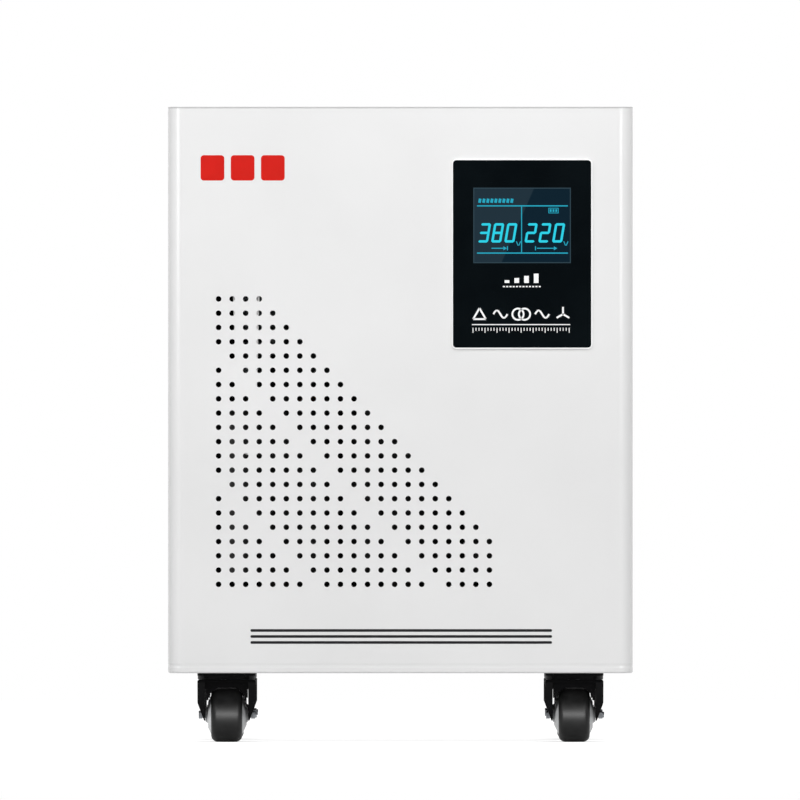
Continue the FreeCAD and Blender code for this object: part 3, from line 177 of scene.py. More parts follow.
def ribbed(name, dark, light, pitch, axis, depth, shader):
    """A finish of parallel ribs, such as wire turns or stacked sheets, along one axis."""
    material, tree = blank(name)
    place = add(tree, "TexCoord").outputs["Object"]
    wave = add(tree, "TexWave", {"Vector": place, "Scale": bands(pitch), "Distortion": 0.4,
                                 "Detail": 1.0, "Detail Scale": 0.3},
               wave_type="BANDS", bands_direction=axis)
    cloud = add(tree, "TexNoise", {"Vector": place, "Scale": per(25), "Detail": 3.0})
    share = add(tree, "Math", {0: wave.outputs["Fac"], 1: cloud.outputs["Fac"]},
                operation="MULTIPLY")
    tone = add(tree, "ValToRGB", {"Fac": share.outputs["Value"]})
    tone.color_ramp.elements[0].position = 0.05
    tone.color_ramp.elements[0].color = linear(dark)
    tone.color_ramp.elements[1].position = 0.5
    tone.color_ramp.elements[1].color = linear(light)
    bump = add(tree, "Bump", {"Height": wave.outputs["Fac"], "Distance": depth * MM,
                              "Strength": 1.0})
    body = add(tree, "BsdfPrincipled", {"Base Color": tone.outputs["Color"],
                                        "Normal": bump.outputs["Normal"], **shader})
    add(tree, "OutputMaterial", {"Surface": body.outputs["BSDF"]})
    return material


# Polyester powder coat on steel sheet, oven cured: satin white, with the faint orange peel of
# the molten powder. The faces inside the cabinet are painted near black as shade, so that the
# vents look black. The real peel is about 1 mm; it is drawn at 2.4 mm so that it shows.
powder_coat = mottled("powder_coat_white", "#E8E8E8", "#ECECEC", 180, 2.4, 0.02,
                      {"Roughness": 0.19, "IOR": 1.5}, "#0E0F10")

# Screen-printed polyester film over a moulded bezel: near black with a trace of blue, smooth.
display_film = mottled("polyester_film_black", "#070C0F", "#0A1013", 40, 0.6, 0.002,
                       {"Roughness": 0.2, "IOR": 1.5, "Specular IOR Level": 0.07})

# Moulded ABS of the meter's case: black, with a fine spark-eroded texture.
case_plastic = mottled("abs_moulded_black", "#141516", "#1C1D1E", 30, 0.8, 0.02,
                       {"Roughness": 0.5, "IOR": 1.53})

# White polycarbonate strip, extruded: glossy, a little translucent at its edges.
trim_plastic = mottled("polycarbonate_trim_white", "#FDFDFD", "#FFFFFF", 60, 1.2, 0.002,
                       {"Roughness": 0.35, "IOR": 1.58})

# Nitrile rubber bush, press moulded: dull black with a bloom of grey.
bush_rubber = mottled("nitrile_rubber_black", "#161616", "#202020", 9, 0.7, 0.02,
                      {"Roughness": 0.62, "IOR": 1.52})

# Cathodic dip paint on pressed steel: thin, even, half-gloss black.
dip_paint = mottled("electrocoat_black", "#040405", "#08080A", 14, 1.6, 0.012,
                    {"Roughness": 0.42, "IOR": 1.5, "Specular IOR Level": 0.07})

# Polyamide wheel core, injection moulded: light grey, waxy, with weak flow marks.
wheel_nylon = mottled("polyamide_moulded_grey", "#B9BBBC", "#C9CACB", 12, 1.0, 0.01,
                      {"Roughness": 0.32, "IOR": 1.53})

# Cast polyurethane tread: black, smooth from the mould, with a soft sheen.
tread_rubber = mottled("polyurethane_tread_black", "#070707", "#0D0D0D", 8, 0.9, 0.004,
                       {"Roughness": 0.42, "IOR": 1.5, "Specular IOR Level": 0.18})

# Bright zinc plate on bolts and pins: bluish white metal, patchy from the bath.
zinc_plate = mottled("zinc_plated_steel", "#A9ADB1", "#C3C7CA", 5, 0.5, 0.004,
                     {"Metallic": 1.0, "Roughness": 0.32})

# Zinc-nickel plate on the axle bolts: grey metal with a dull sheen.
dull_zinc = mottled("zinc_nickel_plated_steel", "#84878B", "#A2A5A9", 4, 0.5, 0.004,
                    {"Metallic": 1.0, "Roughness": 0.38})

# Hot-dip galvanised bracket steel: grey metal with spangles about 8 mm across.
bracket_steel = mottled("galvanised_steel", "#7E8388", "#A2A7AB", 8, 6, 0.01,
                        {"Metallic": 1.0, "Roughness": 0.45})

# Polyolefin sleeve shrunk over the load bars: black, satin, with a weak stretch grain.
shrunk_sleeve = mottled("heat_shrink_sleeve_black", "#0C0C0D", "#131314", 15, 1.0, 0.01,
                        {"Roughness": 0.45, "IOR": 1.5})

# Stoving enamel on the core clamps: black, brushed on thick, half gloss.
clamp_enamel = mottled("stoving_enamel_black", "#0D0E0F", "#151617", 18, 2.0, 0.03,
                       {"Roughness": 0.4, "IOR": 1.52})

# Bare copper bar: warm metal, drawn smooth.
bar_metal = mottled("copper_bar_bright", "#B5713F", "#C98654", 12, 1.5, 0.004,
                    {"Metallic": 1.0, "Roughness": 0.28})

# Pressed phenolic paper of the coil spacers: dark brown, matt.
spacer_paper = mottled("phenolic_paper_brown", "#1C130D", "#2B1D13", 7, 0.8, 0.01,
                       {"Roughness": 0.6, "IOR": 1.55})

# Glass-filled polyester board: cream brown, with a weak fibre mottle.
board_laminate = mottled("glass_polyester_board", "#B9A27A", "#CDB78F", 6, 1.2, 0.02,
                         {"Roughness": 0.55, "IOR": 1.55})

# Silicone sleeve on the display's lead: soft white, slightly dusty.
lead_silicone = mottled("silicone_sleeve_white", "#E6E6E4", "#F4F4F2", 10, 0.6, 0.01,
                        {"Roughness": 0.5, "IOR": 1.42})

# Varnished electrical steel sheets on edge. The real ones are 0.5 mm; they are drawn at 1.5 mm
# so that the stack shows.
core_steel = ribbed("electrical_steel_varnished", "#3C4248", "#6A7077", 1.5, "Y", 0.12,
                    {"Metallic": 0.6, "Roughness": 0.42})

# Polyesterimide-enamelled copper wire under impregnating varnish: amber turns 2 mm apart.
wound_wire = ribbed("enamelled_copper_wire", "#5A2510", "#9C4E22", 2.0, "Z", 0.35,
                    {"Roughness": 0.3, "IOR": 1.6, "Coat Weight": 0.5, "Coat Roughness": 0.15})

# Glass tape over the outer windings, soaked in black-brown varnish: bands 6 mm apart.
wrapped_coil = ribbed("varnished_glass_tape", "#0B0807", "#1A120D", 6.0, "Z", 0.25,
                      {"Roughness": 0.4, "IOR": 1.55})


def inked(name, dark, light):
    """Screen ink on a panel: an even, satin film with the faint mesh of the screen.

    The mesh of a real screen is about 0.4 mm; it is drawn at 0.8 mm so that it shows.
    """
    return mottled(name, dark, light, 20, 0.8, 0.002,
                   {"Roughness": 0.45, "IOR": 1.5, "Specular IOR Level": 0.15})


red_ink = inked("screen_ink_red", "#CC1B12", "#D21D14")
grey_ink = inked("screen_ink_charcoal", "#19191B", "#1D1D1F")
white_ink = inked("screen_ink_white", "#F4F5F5", "#F8F9F9")


def lit(name, colour):
    """A lit part of the display, with a slight unevenness of its backlight."""
    material, tree = blank(name)
    place = add(tree, "TexCoord").outputs["Object"]
    cloud = add(tree, "TexNoise", {"Vector": place, "Scale": per(14), "Detail": 1.0})
    level = add(tree, "MapRange", {"Value": cloud.outputs["Fac"], "To Min": 0.93,
                                   "To Max": 1.07})
    body = add(tree, "BsdfPrincipled", {
        "Base Color": linear("#04080A"), "Roughness": 0.3, "Specular IOR Level": 0.2,
        "Emission Color": linear(colour), "Emission Strength": level.outputs["Result"]})
    add(tree, "OutputMaterial", {"Surface": body.outputs["BSDF"]})
    return material


digit_light = lit("lcd_segment_cyan", "#2AD2E8")
line_light = lit("lcd_line_cyan", "#22A6C0")
edge_light = lit("lcd_edge_slate", "#2B3F49")

# The edge of a painted reflection, a paler glare on the pane: where it meets the top and the
# foot of the window, and half the width of its step.
PAINTED_GLARE = {"top_x": 123.87, "foot_x": 93.23, "step": 0.4}


def lcd_glass():
    """The pane of the display: a blue backlit ground, with a painted reflection as a paler glare.

    The glare's edge leans from the top middle to the lower left, as a step on Object coordinates.
    """
    material, tree = blank("lcd_glass_blue")
    place = add(tree, "TexCoord").outputs["Object"]
    split = add(tree, "SeparateXYZ", {"Vector": place})
    lean = (PAINTED_GLARE["top_x"] - PAINTED_GLARE["foot_x"]) / (PANE_MAX.z - PANE_MIN.z)
    leaned = add(tree, "Math", {0: split.outputs["Z"], 1: -lean, 2: split.outputs["X"]},
                 operation="MULTIPLY_ADD")
    edge = PAINTED_GLARE["foot_x"] - lean * PANE_MIN.z
    side = add(tree, "MapRange", {"Value": leaned.outputs["Value"],
                                  "From Min": (edge - PAINTED_GLARE["step"]) * MM,
                                  "From Max": (edge + PAINTED_GLARE["step"]) * MM})
    # Painted reflection: the paler colour is the glare, the darker one the pane's backlit blue.
    tone = add(tree, "MixRGB", {"Fac": side.outputs["Result"], "Color1": linear("#22323C"),
                                "Color2": linear("#0F222E")})
    body = add(tree, "BsdfPrincipled", {
        "Base Color": linear("#020406"), "Roughness": 0.08, "Specular IOR Level": 0.08,
        "Emission Color": tone.outputs["Color"], "Emission Strength": 1.0})
    add(tree, "OutputMaterial", {"Surface": body.outputs["BSDF"]})
    return material


# The finish of every node whose name starts with one of these words. The bolts, screws and
# studs that are left are zinc plated.
FINISH_OF = {
    "front_panel": powder_coat, "base_pan": powder_coat, "rear_panel": powder_coat,
    "left_side_panel": powder_coat, "right_side_panel": powder_coat, "top_cover": powder_coat,
    "display_panel": display_film, "display_window": lcd_glass(),
    "display_housing": case_plastic, "display_lead": lead_silicone,
    "supply_grommet": bush_rubber, "load_grommet": bush_rubber,
    "core": core_steel, "coil_spacers": spacer_paper,
    "inner_winding": wound_wire, "outer_winding": wrapped_coil,
    "front_lower_clamp": clamp_enamel, "front_upper_clamp": clamp_enamel,
    "rear_lower_clamp": clamp_enamel, "rear_upper_clamp": clamp_enamel,
    "left_rail": bracket_steel, "right_rail": bracket_steel, "terminal_deck": bracket_steel,
    "load_board": board_laminate, "supply_board": board_laminate,
    "load_bars": shrunk_sleeve, "supply_bars": bar_metal,
    "caster_plate": dip_paint, "fork": dip_paint, "axle": dull_zinc, "hub": wheel_nylon,
    "tyre": tread_rubber,
}
for name, node in cad.items():
    finish = zinc_plate
    for start, material in FINISH_OF.items():
        if name.startswith(start):
            finish = material
    node.data.materials.clear()
    node.data.materials.append(finish)


# Making pieces

UPRIGHT = Matrix.Rotation(math.pi / 2, 3, "X")
# A face whose normal has a part larger than this is square to an axis.
SQUARE = 0.99999


def finished(name, bm, body, material, replaces=(), round_off=30):
    """Makes the shape one piece that rides on a body, smooth except over sharp edges.

    Faces that are square to an axis stay flat, so that the round beside them doesn't shade them.
    """
    bmesh.ops.scale(bm, vec=(MM, MM, MM), verts=bm.verts)
    bm.normal_update()
    mesh = bpy.data.meshes.new(name)
    bm.to_mesh(mesh)
    bm.free()
    for face in mesh.polygons:
        face.use_smooth = max(abs(c) for c in face.normal) < SQUARE
    mesh.set_sharp_from_angle(angle=math.radians(round_off))
    mesh.materials.append(material)
    obj = bpy.data.objects.new(name, mesh)
    bpy.context.scene.collection.objects.link(obj)
    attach(obj, body)
    if replaces:
        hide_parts(*replaces)
    return obj


def only(kind, geom):
    """The parts of one kind in what an operator gives back."""
    return [part for part in geom if isinstance(part, kind)]


def largest(bm):
    """The face with the largest area."""
    return max(bm.faces, key=lambda face: face.calc_area())


def edges_of(faces):
    """The edges of some faces, each of them once."""
    return list(dict.fromkeys(edge for face in faces for edge in face.edges))


def slice_at(bm, axis, values, within=None):
    """Cuts faces with planes across one axis: all of them, or those that a test picks."""
    normal = Vector([float(i == axis) for i in range(3)])
    for value in values:
        faces = [f for f in bm.faces if within is None or within(f.calc_center_bounds())]
        parts = dict.fromkeys(p for f in faces for p in (*f.verts, *f.edges, f))
        bmesh.ops.bisect_plane(bm, geom=list(parts), plane_co=normal * value,
                               plane_no=normal, dist=0.0001)


def rectangle(bm, left, right, low, high, y):
    """One upright face in front view."""
    made = bmesh.ops.create_grid(bm, x_segments=1, y_segments=1, size=0.5)["verts"]
    bmesh.ops.rotate(bm, verts=made, cent=(0, 0, 0), matrix=UPRIGHT)
    bmesh.ops.scale(bm, vec=(right - left, 1, high - low), verts=made)
    bmesh.ops.translate(bm, vec=((left + right) / 2, y, (low + high) / 2), verts=made)
    return made


def round_corners(bm, verts, radius, steps=8):
    """Rounds the corners of flat faces at these vertices."""
    bmesh.ops.bevel(bm, geom=verts, offset=radius, segments=steps, profile=0.5,
                    affect="VERTICES", material=-1)


def soften(bm, picks, radius, steps):
    """Rounds the sharp edges whose two ends a test picks by their place."""
    rim = [e for e in bm.edges if all(picks(v.co) for v in e.verts)
           and e.calc_face_angle(0) > SHARP]
    bmesh.ops.bevel(bm, geom=rim, offset=radius, segments=steps, profile=0.5, affect="EDGES",
                    material=-1)


def hollow(bm, width):
    """Leaves a strip of this width along the outline of one flat face."""
    bmesh.ops.inset_region(bm, faces=bm.faces[:], thickness=width, use_boundary=True,
                           use_even_offset=True)
    bmesh.ops.delete(bm, geom=[largest(bm)], context="FACES")


def raise_up(bm, depth):
    """Pulls flat faces forward into plates that are closed all round."""
    made = bmesh.ops.extrude_face_region(bm, geom=bm.faces[:])["geom"]
    bmesh.ops.translate(bm, vec=(0, -depth, 0), verts=only(BMVert, made))
    bmesh.ops.recalc_face_normals(bm, faces=bm.faces)


# The thickness of a film of ink, and of the lit parts on the glass.
PRINT = 0.05


def printed(name, bm, ink):
    """Makes flat faces one piece of print, or of light, that rides on the cabinet."""
    raise_up(bm, PRINT)
    return finished(name, bm, "cabinet", ink, round_off=20)


# Front sheet

# The vents: the middle of the first, their pitches, their radius, and the margin of sheet round
# each of them that stays square. A row has one vent more than the row above, up to a full row,
# and no vents stand on the two blank diagonals.
VENT = {"x": -168.2, "z": 410.2, "across": 12.525, "down": 13.2, "radius": 2.6, "margin": 3.0,
        "rows": 21, "columns": 21, "first": 4, "blank": (4, 13)}
# How far the bezel laps over the sheet beside its opening.
LAP = 5
# The bead along the foot: its floor, how deep it is pressed, and the cuts beside it, of which
# the outer ones keep its soft shading to itself.
BEAD = {"low": 69.9, "high": 72.1, "press": 0.3, "beside": (0.6, 1.6)}


def vent_centres():
    """The middle of each vent, row by row from the top."""
    for row in range(VENT["rows"]):
        for column in range(min(row + VENT["first"], VENT["columns"])):
            if row - column not in VENT["blank"]:
                yield VENT["x"] + column * VENT["across"], VENT["z"] - row * VENT["down"]


def cut_opening(bm):
    """Cuts out the rectangle that the display's case goes through."""
    left, right = BEZEL_MIN.x + LAP, BEZEL_MAX.x - LAP
    low, high = BEZEL_MIN.z + LAP, BEZEL_MAX.z - LAP

    def beside_opening(at):
        return at.x > left - VENT["across"] / 2 and at.z > low - VENT["down"] / 2

    slice_at(bm, 0, (left, right), beside_opening)
    slice_at(bm, 2, (low, high), beside_opening)
    inside = [f for f in bm.faces if left < f.calc_center_median().x < right
              and low < f.calc_center_median().z < high]
    bmesh.ops.delete(bm, geom=inside, context="FACES")


def punch_vents(bm):
    """Insets each vent's cell, draws the inner square out to a circle and leaves it open."""
    wanted = [Vector((x, -FACE_Y, z)) for x, z in vent_centres()]
    cells = [face for face in bm.faces
             if any((face.calc_center_bounds() - at).length < 0.1 for at in wanted)]
    bmesh.ops.inset_individual(bm, faces=cells, thickness=VENT["margin"])
    bmesh.ops.subdivide_edges(bm, edges=edges_of(cells), cuts=5)
    for face in cells:
        middle = face.calc_center_bounds()
        for vert in face.verts:
            vert.co = middle + (vert.co - middle).normalized() * VENT["radius"]
    bmesh.ops.delete(bm, geom=cells, context="FACES_ONLY")


def fold_sides(bm):
    """Turns each side edge round its bend, and draws it on to the end of the return."""
    for side in (-1, 1):
        edge_x = side * (SIDE_X - BEND)
        line = [e for e in bm.edges if all(abs(v.co.x - edge_x) < NEAR for v in e.verts)]
        turned = bmesh.ops.spin(bm, geom=line, cent=(edge_x, -FACE_Y + BEND, 0), axis=(0, 0, 1),
                                angle=side * math.pi / 2, steps=24)["geom_last"]
        grown = bmesh.ops.extrude_edge_only(bm, edges=only(BMEdge, turned))["geom"]
        bmesh.ops.translate(bm, vec=(0, RETURN - BEND, 0), verts=only(BMVert, grown))
    bmesh.ops.remove_doubles(bm, verts=bm.verts, dist=MERGE)
    bmesh.ops.recalc_face_normals(bm, faces=bm.faces)
    if largest(bm).normal.y > 0:
        bmesh.ops.reverse_faces(bm, faces=bm.faces)
    bm.normal_update()


def press_bead(bm):
    """Moves the bead's floor back into the sheet."""
    for vert in bm.verts:
        if BEAD["low"] - NEAR < vert.co.z < BEAD["high"] + NEAR:
            vert.co -= vert.normal * BEAD["press"]


def front_sheet():
    """The folded front: round vertical bends, a bead along the foot and 263 round vents."""
    bm = bmesh.new()
    rectangle(bm, -SIDE_X + BEND, SIDE_X - BEND, FRONT_MIN.z, FRONT_MAX.z, -FACE_Y)
    columns = [VENT["x"] + (i - 0.5) * VENT["across"] for i in range(VENT["columns"] + 1)]
    levels = [VENT["z"] - (i - 0.5) * VENT["down"] for i in range(VENT["rows"] + 1)]
    below = [BEAD["low"] - gap for gap in (*BEAD["beside"], 0)]
    above = [BEAD["high"] + gap for gap in (*BEAD["beside"], 0)]
    slice_at(bm, 0, columns)
    slice_at(bm, 2, levels + below + above)
    cut_opening(bm)
    punch_vents(bm)
    fold_sides(bm)
    press_bead(bm)
    # The sheet's inner face is the outer one moved inwards by its thickness.
    bmesh.ops.solidify(bm, geom=bm.faces[:], thickness=SHEET)
    bmesh.ops.recalc_face_normals(bm, faces=bm.faces)
    return finished("vented_front", bm, "cabinet", powder_coat,
                    ("front_panel",))


front_sheet()


# Top cover

# The skirt hangs this far inside the edge, clear of the sheets that it closes.
SKIRT_IN = 2 * SHEET + 0.3


def cover_sheet():
    """The top sheet with its folded skirt, and a soft edge all round where the coat runs."""
    bm = bmesh.new()
    made = bmesh.ops.create_grid(bm, x_segments=1, y_segments=1, size=0.5)["verts"]
    bmesh.ops.scale(bm, vec=(2 * SIDE_X, 2 * FACE_Y, 1), verts=made)
    bmesh.ops.translate(bm, vec=(0, 0, FRONT_MAX.z), verts=made)
    round_corners(bm, made, BEND, steps=16)
    bmesh.ops.inset_region(bm, faces=bm.faces[:], thickness=SKIRT_IN, use_boundary=True,
                           use_even_offset=True)
    inner = largest(bm)
    bmesh.ops.inset_region(bm, faces=[inner], thickness=SHEET, use_even_offset=True)
    sheet = bm.faces[:]
    fold = [f for f in sheet if f is not inner and all(
        abs(v.co.x) < SIDE_X - SKIRT_IN + NEAR and abs(v.co.y) < FACE_Y - SKIRT_IN + NEAR
        for v in f.verts)]
    top = bmesh.ops.extrude_face_region(bm, geom=sheet, use_keep_orig=True)["geom"]
    bmesh.ops.translate(bm, vec=(0, 0, SHEET), verts=only(BMVert, top))
    down = bmesh.ops.extrude_face_region(bm, geom=fold + edges_of(fold))["geom"]
    bmesh.ops.translate(bm, vec=(0, 0, COVER_MIN.z - FRONT_MAX.z), verts=only(BMVert, down))
    bmesh.ops.recalc_face_normals(bm, faces=bm.faces)
    soften(bm, lambda at: abs(at.z - COVER_MAX.z) < NEAR, radius=0.7, steps=3)
    return finished("cover_sheet", bm, "cabinet", powder_coat, ("top_cover",))


cover = cover_sheet()


# Base tray

# The chords of the tray's round corners lie up to this far inside the round.
CHORD = 0.3


def base_tray():
    """The pressed tray, with the round lower edge that its press tool gives."""
    bm = bmesh.new()
    bm.from_mesh(cad["base_pan"].data)
    bmesh.ops.scale(bm, vec=(1 / MM, 1 / MM, 1 / MM), verts=bm.verts)
    bmesh.ops.remove_doubles(bm, verts=bm.verts, dist=MERGE)
    bmesh.ops.dissolve_limit(bm, angle_limit=math.radians(1), verts=bm.verts, edges=bm.edges)

    def on_foot(at):
        x, y = abs(at.x) - (SIDE_X - BEND), abs(at.y) - (FACE_Y - BEND)
        return (abs(at.z - PAN_LOW) < NEAR
                and math.hypot(max(x, 0), max(y, 0)) > BEND - CHORD)

    soften(bm, on_foot, radius=1.7, steps=5)
    return finished("base_tray", bm, "cabinet", powder_coat, ("base_pan",))


base_tray()


# Display

BEZEL_Y, PANE_Y = BEZEL_MIN.y, PANE_MIN.y
TRIM = {"width": 1.2, "gap": 0.1, "corner": 3, "soft": 0.25}


def display_trim():
    """The white strip snapped round the bezel."""
    bm = bmesh.new()
    reach = TRIM["gap"] + TRIM["width"]
    corners = rectangle(bm, BEZEL_MIN.x - reach, BEZEL_MAX.x + reach, BEZEL_MIN.z - reach,
                        BEZEL_MAX.z + reach, -FACE_Y)
    round_corners(bm, corners, TRIM["corner"] + reach)
    hollow(bm, TRIM["width"])
    raise_up(bm, -FACE_Y - BEZEL_Y)
    soften(bm, lambda at: at.y < BEZEL_Y + NEAR, TRIM["soft"], steps=2)
    return finished("display_trim", bm, "cabinet", trim_plastic)


display_trim()


def bar(bm, x0, z0, x1, z1, width, y, cut=0.0):
    """A straight stroke of print from one point to another, with its corners cut if asked."""
    start, end = Vector((x0, 0, z0)), Vector((x1, 0, z1))
    length = (end - start).length
    made = rectangle(bm, -length / 2, length / 2, -width / 2, width / 2, 0)
    if cut:
        before = set(bm.verts) - set(made)
        round_corners(bm, made, cut, steps=1)
        made = [v for v in bm.verts if v not in before]
    turn = math.atan2(z1 - z0, x1 - x0)
    bmesh.ops.rotate(bm, verts=made, cent=(0, 0, 0), matrix=Matrix.Rotation(-turn, 3, "Y"))
    middle = (start + end) / 2
    bmesh.ops.translate(bm, vec=(middle.x, y, middle.z), verts=made)
    return made


def ring(bm, x, z, radius, width, y, steps=40):
    """A round outline."""
    made = []
    for edge in (radius + width / 2, radius - width / 2):
        made += bmesh.ops.create_circle(bm, segments=steps, radius=edge)["verts"]
    bmesh.ops.bridge_loops(bm, edges=list({e for v in made for e in v.link_edges}))
    bmesh.ops.rotate(bm, verts=made, cent=(0, 0, 0), matrix=UPRIGHT)
    bmesh.ops.translate(bm, vec=(x, y, z), verts=made)


# Seven-segment strokes, each from one point of a 1 x 2 grid to another.
SEGMENTS = {
    "top": ((0, 2), (1, 2)), "middle": ((0, 1), (1, 1)), "foot": ((0, 0), (1, 0)),
    "upper_left": ((0, 1), (0, 2)), "upper_right": ((1, 1), (1, 2)),
    "lower_left": ((0, 0), (0, 1)), "lower_right": ((1, 0), (1, 1)),
}
NUMERALS = {
    "3": ("top", "middle", "foot", "upper_right", "lower_right"),
    "8": tuple(SEGMENTS),
    "0": ("top", "foot", "upper_left", "upper_right", "lower_left", "lower_right"),
    "2": ("top", "middle", "foot", "upper_right", "lower_left"),
}
# A figure's foot and size, its lean, how far a stroke runs past its points of the grid, and the
# cut of a stroke's corners. The last two are shares of the stroke's width.
FIGURE = {"low": 462.32, "height": 17.94, "width": 9.4, "stroke": 2.2, "lean": 0.17,
          "past": 0.34, "cut": 0.44}
# Each reading, the left edge of its first figure and the pitch of its figures.
READINGS = (("380", 71.55, 12.18), ("220", 114.65, 12.74))


def numeral(bm, figure, left):
    """One leaning seven-segment figure, with a hair's breadth between its strokes."""
    stroke = FIGURE["stroke"]
    wide = FIGURE["width"] - stroke
    high = (FIGURE["height"] - stroke) / 2
    for name in NUMERALS[figure]:
        start, end = (Vector((x * wide + stroke / 2, 0, z * high + stroke / 2))
                      for x, z in SEGMENTS[name])
        past = (end - start).normalized() * stroke * FIGURE["past"]
        start -= past
        end += past
        made = bar(bm, start.x, start.z, end.x, end.z, stroke, 0, stroke * FIGURE["cut"])
        for vert in made:
            vert.co.x += vert.co.z * FIGURE["lean"]
        bmesh.ops.translate(bm, vec=(left, PANE_Y, FIGURE["low"]), verts=made)


def lcd_figures():
    bm = bmesh.new()
    for reading, left, pitch in READINGS:
        for i, figure in enumerate(reading):
            numeral(bm, figure, left + i * pitch)
    return printed("lcd_figures", bm, digit_light)


lcd_figures()

# The ruled lines of the display: its two long ones, the upright one between the readings, and
# how far that stays from the long ones.
RULES = {"left": 70.81, "right": 154.89, "low": 452.6, "high": 496.26, "width": 1.1,
         "upright": 112.06, "thin": 0.9, "clear": 0.65}
# The load level: a row of short leaning blocks.
LOAD = {"left": 73.12, "low": 499.13, "high": 502.92, "lean": 0.7, "width": 2.5, "pitch": 3.7,
        "blocks": 9}
# The small mark at the upper right, a box with three bars in it.
CELL = {"left": 136.85, "right": 146.29, "low": 489.7, "high": 494.13, "line": 0.6,
        "clear": 0.35, "inset": 1.0, "first": 2.1, "pitch": 2.6, "bar": 1.7, "bars": 3}
# The V after each reading, and the tops and feet of its two strokes from its left.
VOLTS = {"lefts": (107.25, 151.1), "low": 459.54, "high": 463.43, "line": 0.8,
         "tops": (0, 3.93), "feet": (1.565, 2.215)}
# The arrows below the readings: each from one x to another, with a bar at its head or its tail.
ARROWS = {"into_bar": (84.22, 99.02), "out_of_bar": (124.92, 144.35), "z": 457.04,
          "bar": 1.9, "line": 0.9, "gap": 1.3, "head": 2.1, "neck": 0.5}


def load_level(bm):
    for i in range(LOAD["blocks"]):
        x = LOAD["left"] + i * LOAD["pitch"]
        bar(bm, x, LOAD["low"], x + LOAD["lean"], LOAD["high"], LOAD["width"], PANE_Y)


def cell_mark(bm):
    left, right, low, high = (CELL[key] for key in ("left", "right", "low", "high"))
    line = CELL["line"]
    for z in (low, high):
        bar(bm, left, z, right, z, line, PANE_Y)
    for x in (left + line / 2, right - line / 2):
        bar(bm, x, low + CELL["clear"], x, high - CELL["clear"], line, PANE_Y)
    for i in range(CELL["bars"]):
        x = left + CELL["first"] + i * CELL["pitch"]
        bar(bm, x, low + CELL["inset"], x, high - CELL["inset"], CELL["bar"], PANE_Y)


def volt_marks(bm):
    for left in VOLTS["lefts"]:
        for top, foot in zip(VOLTS["tops"], VOLTS["feet"]):
            bar(bm, left + top, VOLTS["high"], left + foot, VOLTS["low"], VOLTS["line"],
                PANE_Y)


def arrow(bm, tail, tip, bar_x):
    """An arrow that points right, and the upright bar that it comes from or goes to."""
    z, head = ARROWS["z"], ARROWS["head"]
    bar(bm, bar_x, z - ARROWS["bar"], bar_x, z + ARROWS["bar"], ARROWS["line"], PANE_Y)
    bar(bm, tail, z, tip - head - ARROWS["neck"], z, ARROWS["line"], PANE_Y)
    made = bmesh.ops.create_circle(bm, cap_ends=True, segments=3, radius=head)["verts"]
    bmesh.ops.rotate(bm, verts=made, cent=(0, 0, 0),
                     matrix=UPRIGHT @ Matrix.Rotation(-math.pi / 2, 3, "Z"))
    bmesh.ops.translate(bm, vec=(tip - head * 2 / 3, PANE_Y, z), verts=made)


def lcd_lines():
    """The ruled lines and the small plain marks of the display."""
    bm = bmesh.new()
    for z in (RULES["high"], RULES["low"]):
        bar(bm, RULES["left"], z, RULES["right"], z, RULES["width"], PANE_Y)
    bar(bm, RULES["upright"], RULES["low"] + RULES["clear"], RULES["upright"],
        RULES["high"] - RULES["clear"], RULES["thin"], PANE_Y)
    load_level(bm)
    cell_mark(bm)
    volt_marks(bm)
    tail, end = ARROWS["into_bar"]
    arrow(bm, tail, end - ARROWS["gap"], end)
    start, tip = ARROWS["out_of_bar"]
    arrow(bm, start + ARROWS["gap"], tip, start)
    return printed("lcd_lines", bm, line_light)


lcd_lines()


def lcd_edge():
    """The thin pale rim of the glass, where its backlight leaks."""
    bm = bmesh.new()
    inside = 0.04
    rectangle(bm, PANE_MIN.x + inside, PANE_MAX.x - inside, PANE_MIN.z + inside,
              PANE_MAX.z - inside, PANE_Y)
    hollow(bm, width=0.9)
    return printed("lcd_edge", bm, edge_light)


lcd_edge()


# Print on the bezel

# The row of circuit symbols: its foot and height, the middle of its first symbol and the pitch.
SYMBOLS = {"low": 388.5, "height": 15.17, "first": 73.12, "pitch": 19.31, "stroke": 1.7,
           "delta_drop": 1.2, "star_hole": 0.6}
WAVE = {"length": 13, "height": 7, "steps": 14}
COIL = {"radius": 5.2, "apart": 6.0}
# The rule below the symbols, and the scale of ticks below that, each fourth of them long.
RULE = {"left": 66.18, "right": 157.02, "z": 386.46, "width": 0.9}
SCALE = {"left": 67.11, "right": 156.09, "top": 383.51, "ticks": 33, "long": 4.6, "short": 2.8,
         "width": 0.8}
# The rising blocks under the window, and the broken line below them.
BLOCKS = {"left": 98.56, "low": 424.94, "pitch": 9.0, "blocks": 4, "first": 2.6, "rise": 2.0,
          "width": 4.4}
DASHES = {"left": 94.86, "z": 421.61, "pitch": 3.0, "dashes": 12, "length": 1.9, "width": 1.2}


def delta_sign(bm, x, z, reach):
    """Three windings in a triangle."""
    middle = z - SYMBOLS["delta_drop"]
    corners = [(x + reach * math.sin(a), middle + reach * math.cos(a))
               for a in (0, 2 * math.pi / 3, 4 * math.pi / 3)]
    for i in range(3):
        bar(bm, *corners[i], *corners[(i + 1) % 3], SYMBOLS["stroke"], BEZEL_Y)


def wave_sign(bm, x, z):
    """One period of an alternating wave, as a stroke of even width."""
    points = []
    for i in range(WAVE["steps"] + 1):
        share = i / WAVE["steps"]
        points.append((x + (share - 0.5) * WAVE["length"],
                       z + math.sin(share * 2 * math.pi) * WAVE["height"] / 2))
    for start, end in zip(points, points[1:]):
        bar(bm, *start, *end, SYMBOLS["stroke"], BEZEL_Y)


def coils_sign(bm, x, z):
    """Two coupled windings."""
    for side in (-0.5, 0.5):
        ring(bm, x + side * COIL["apart"], z, COIL["radius"], SYMBOLS["stroke"], BEZEL_Y)


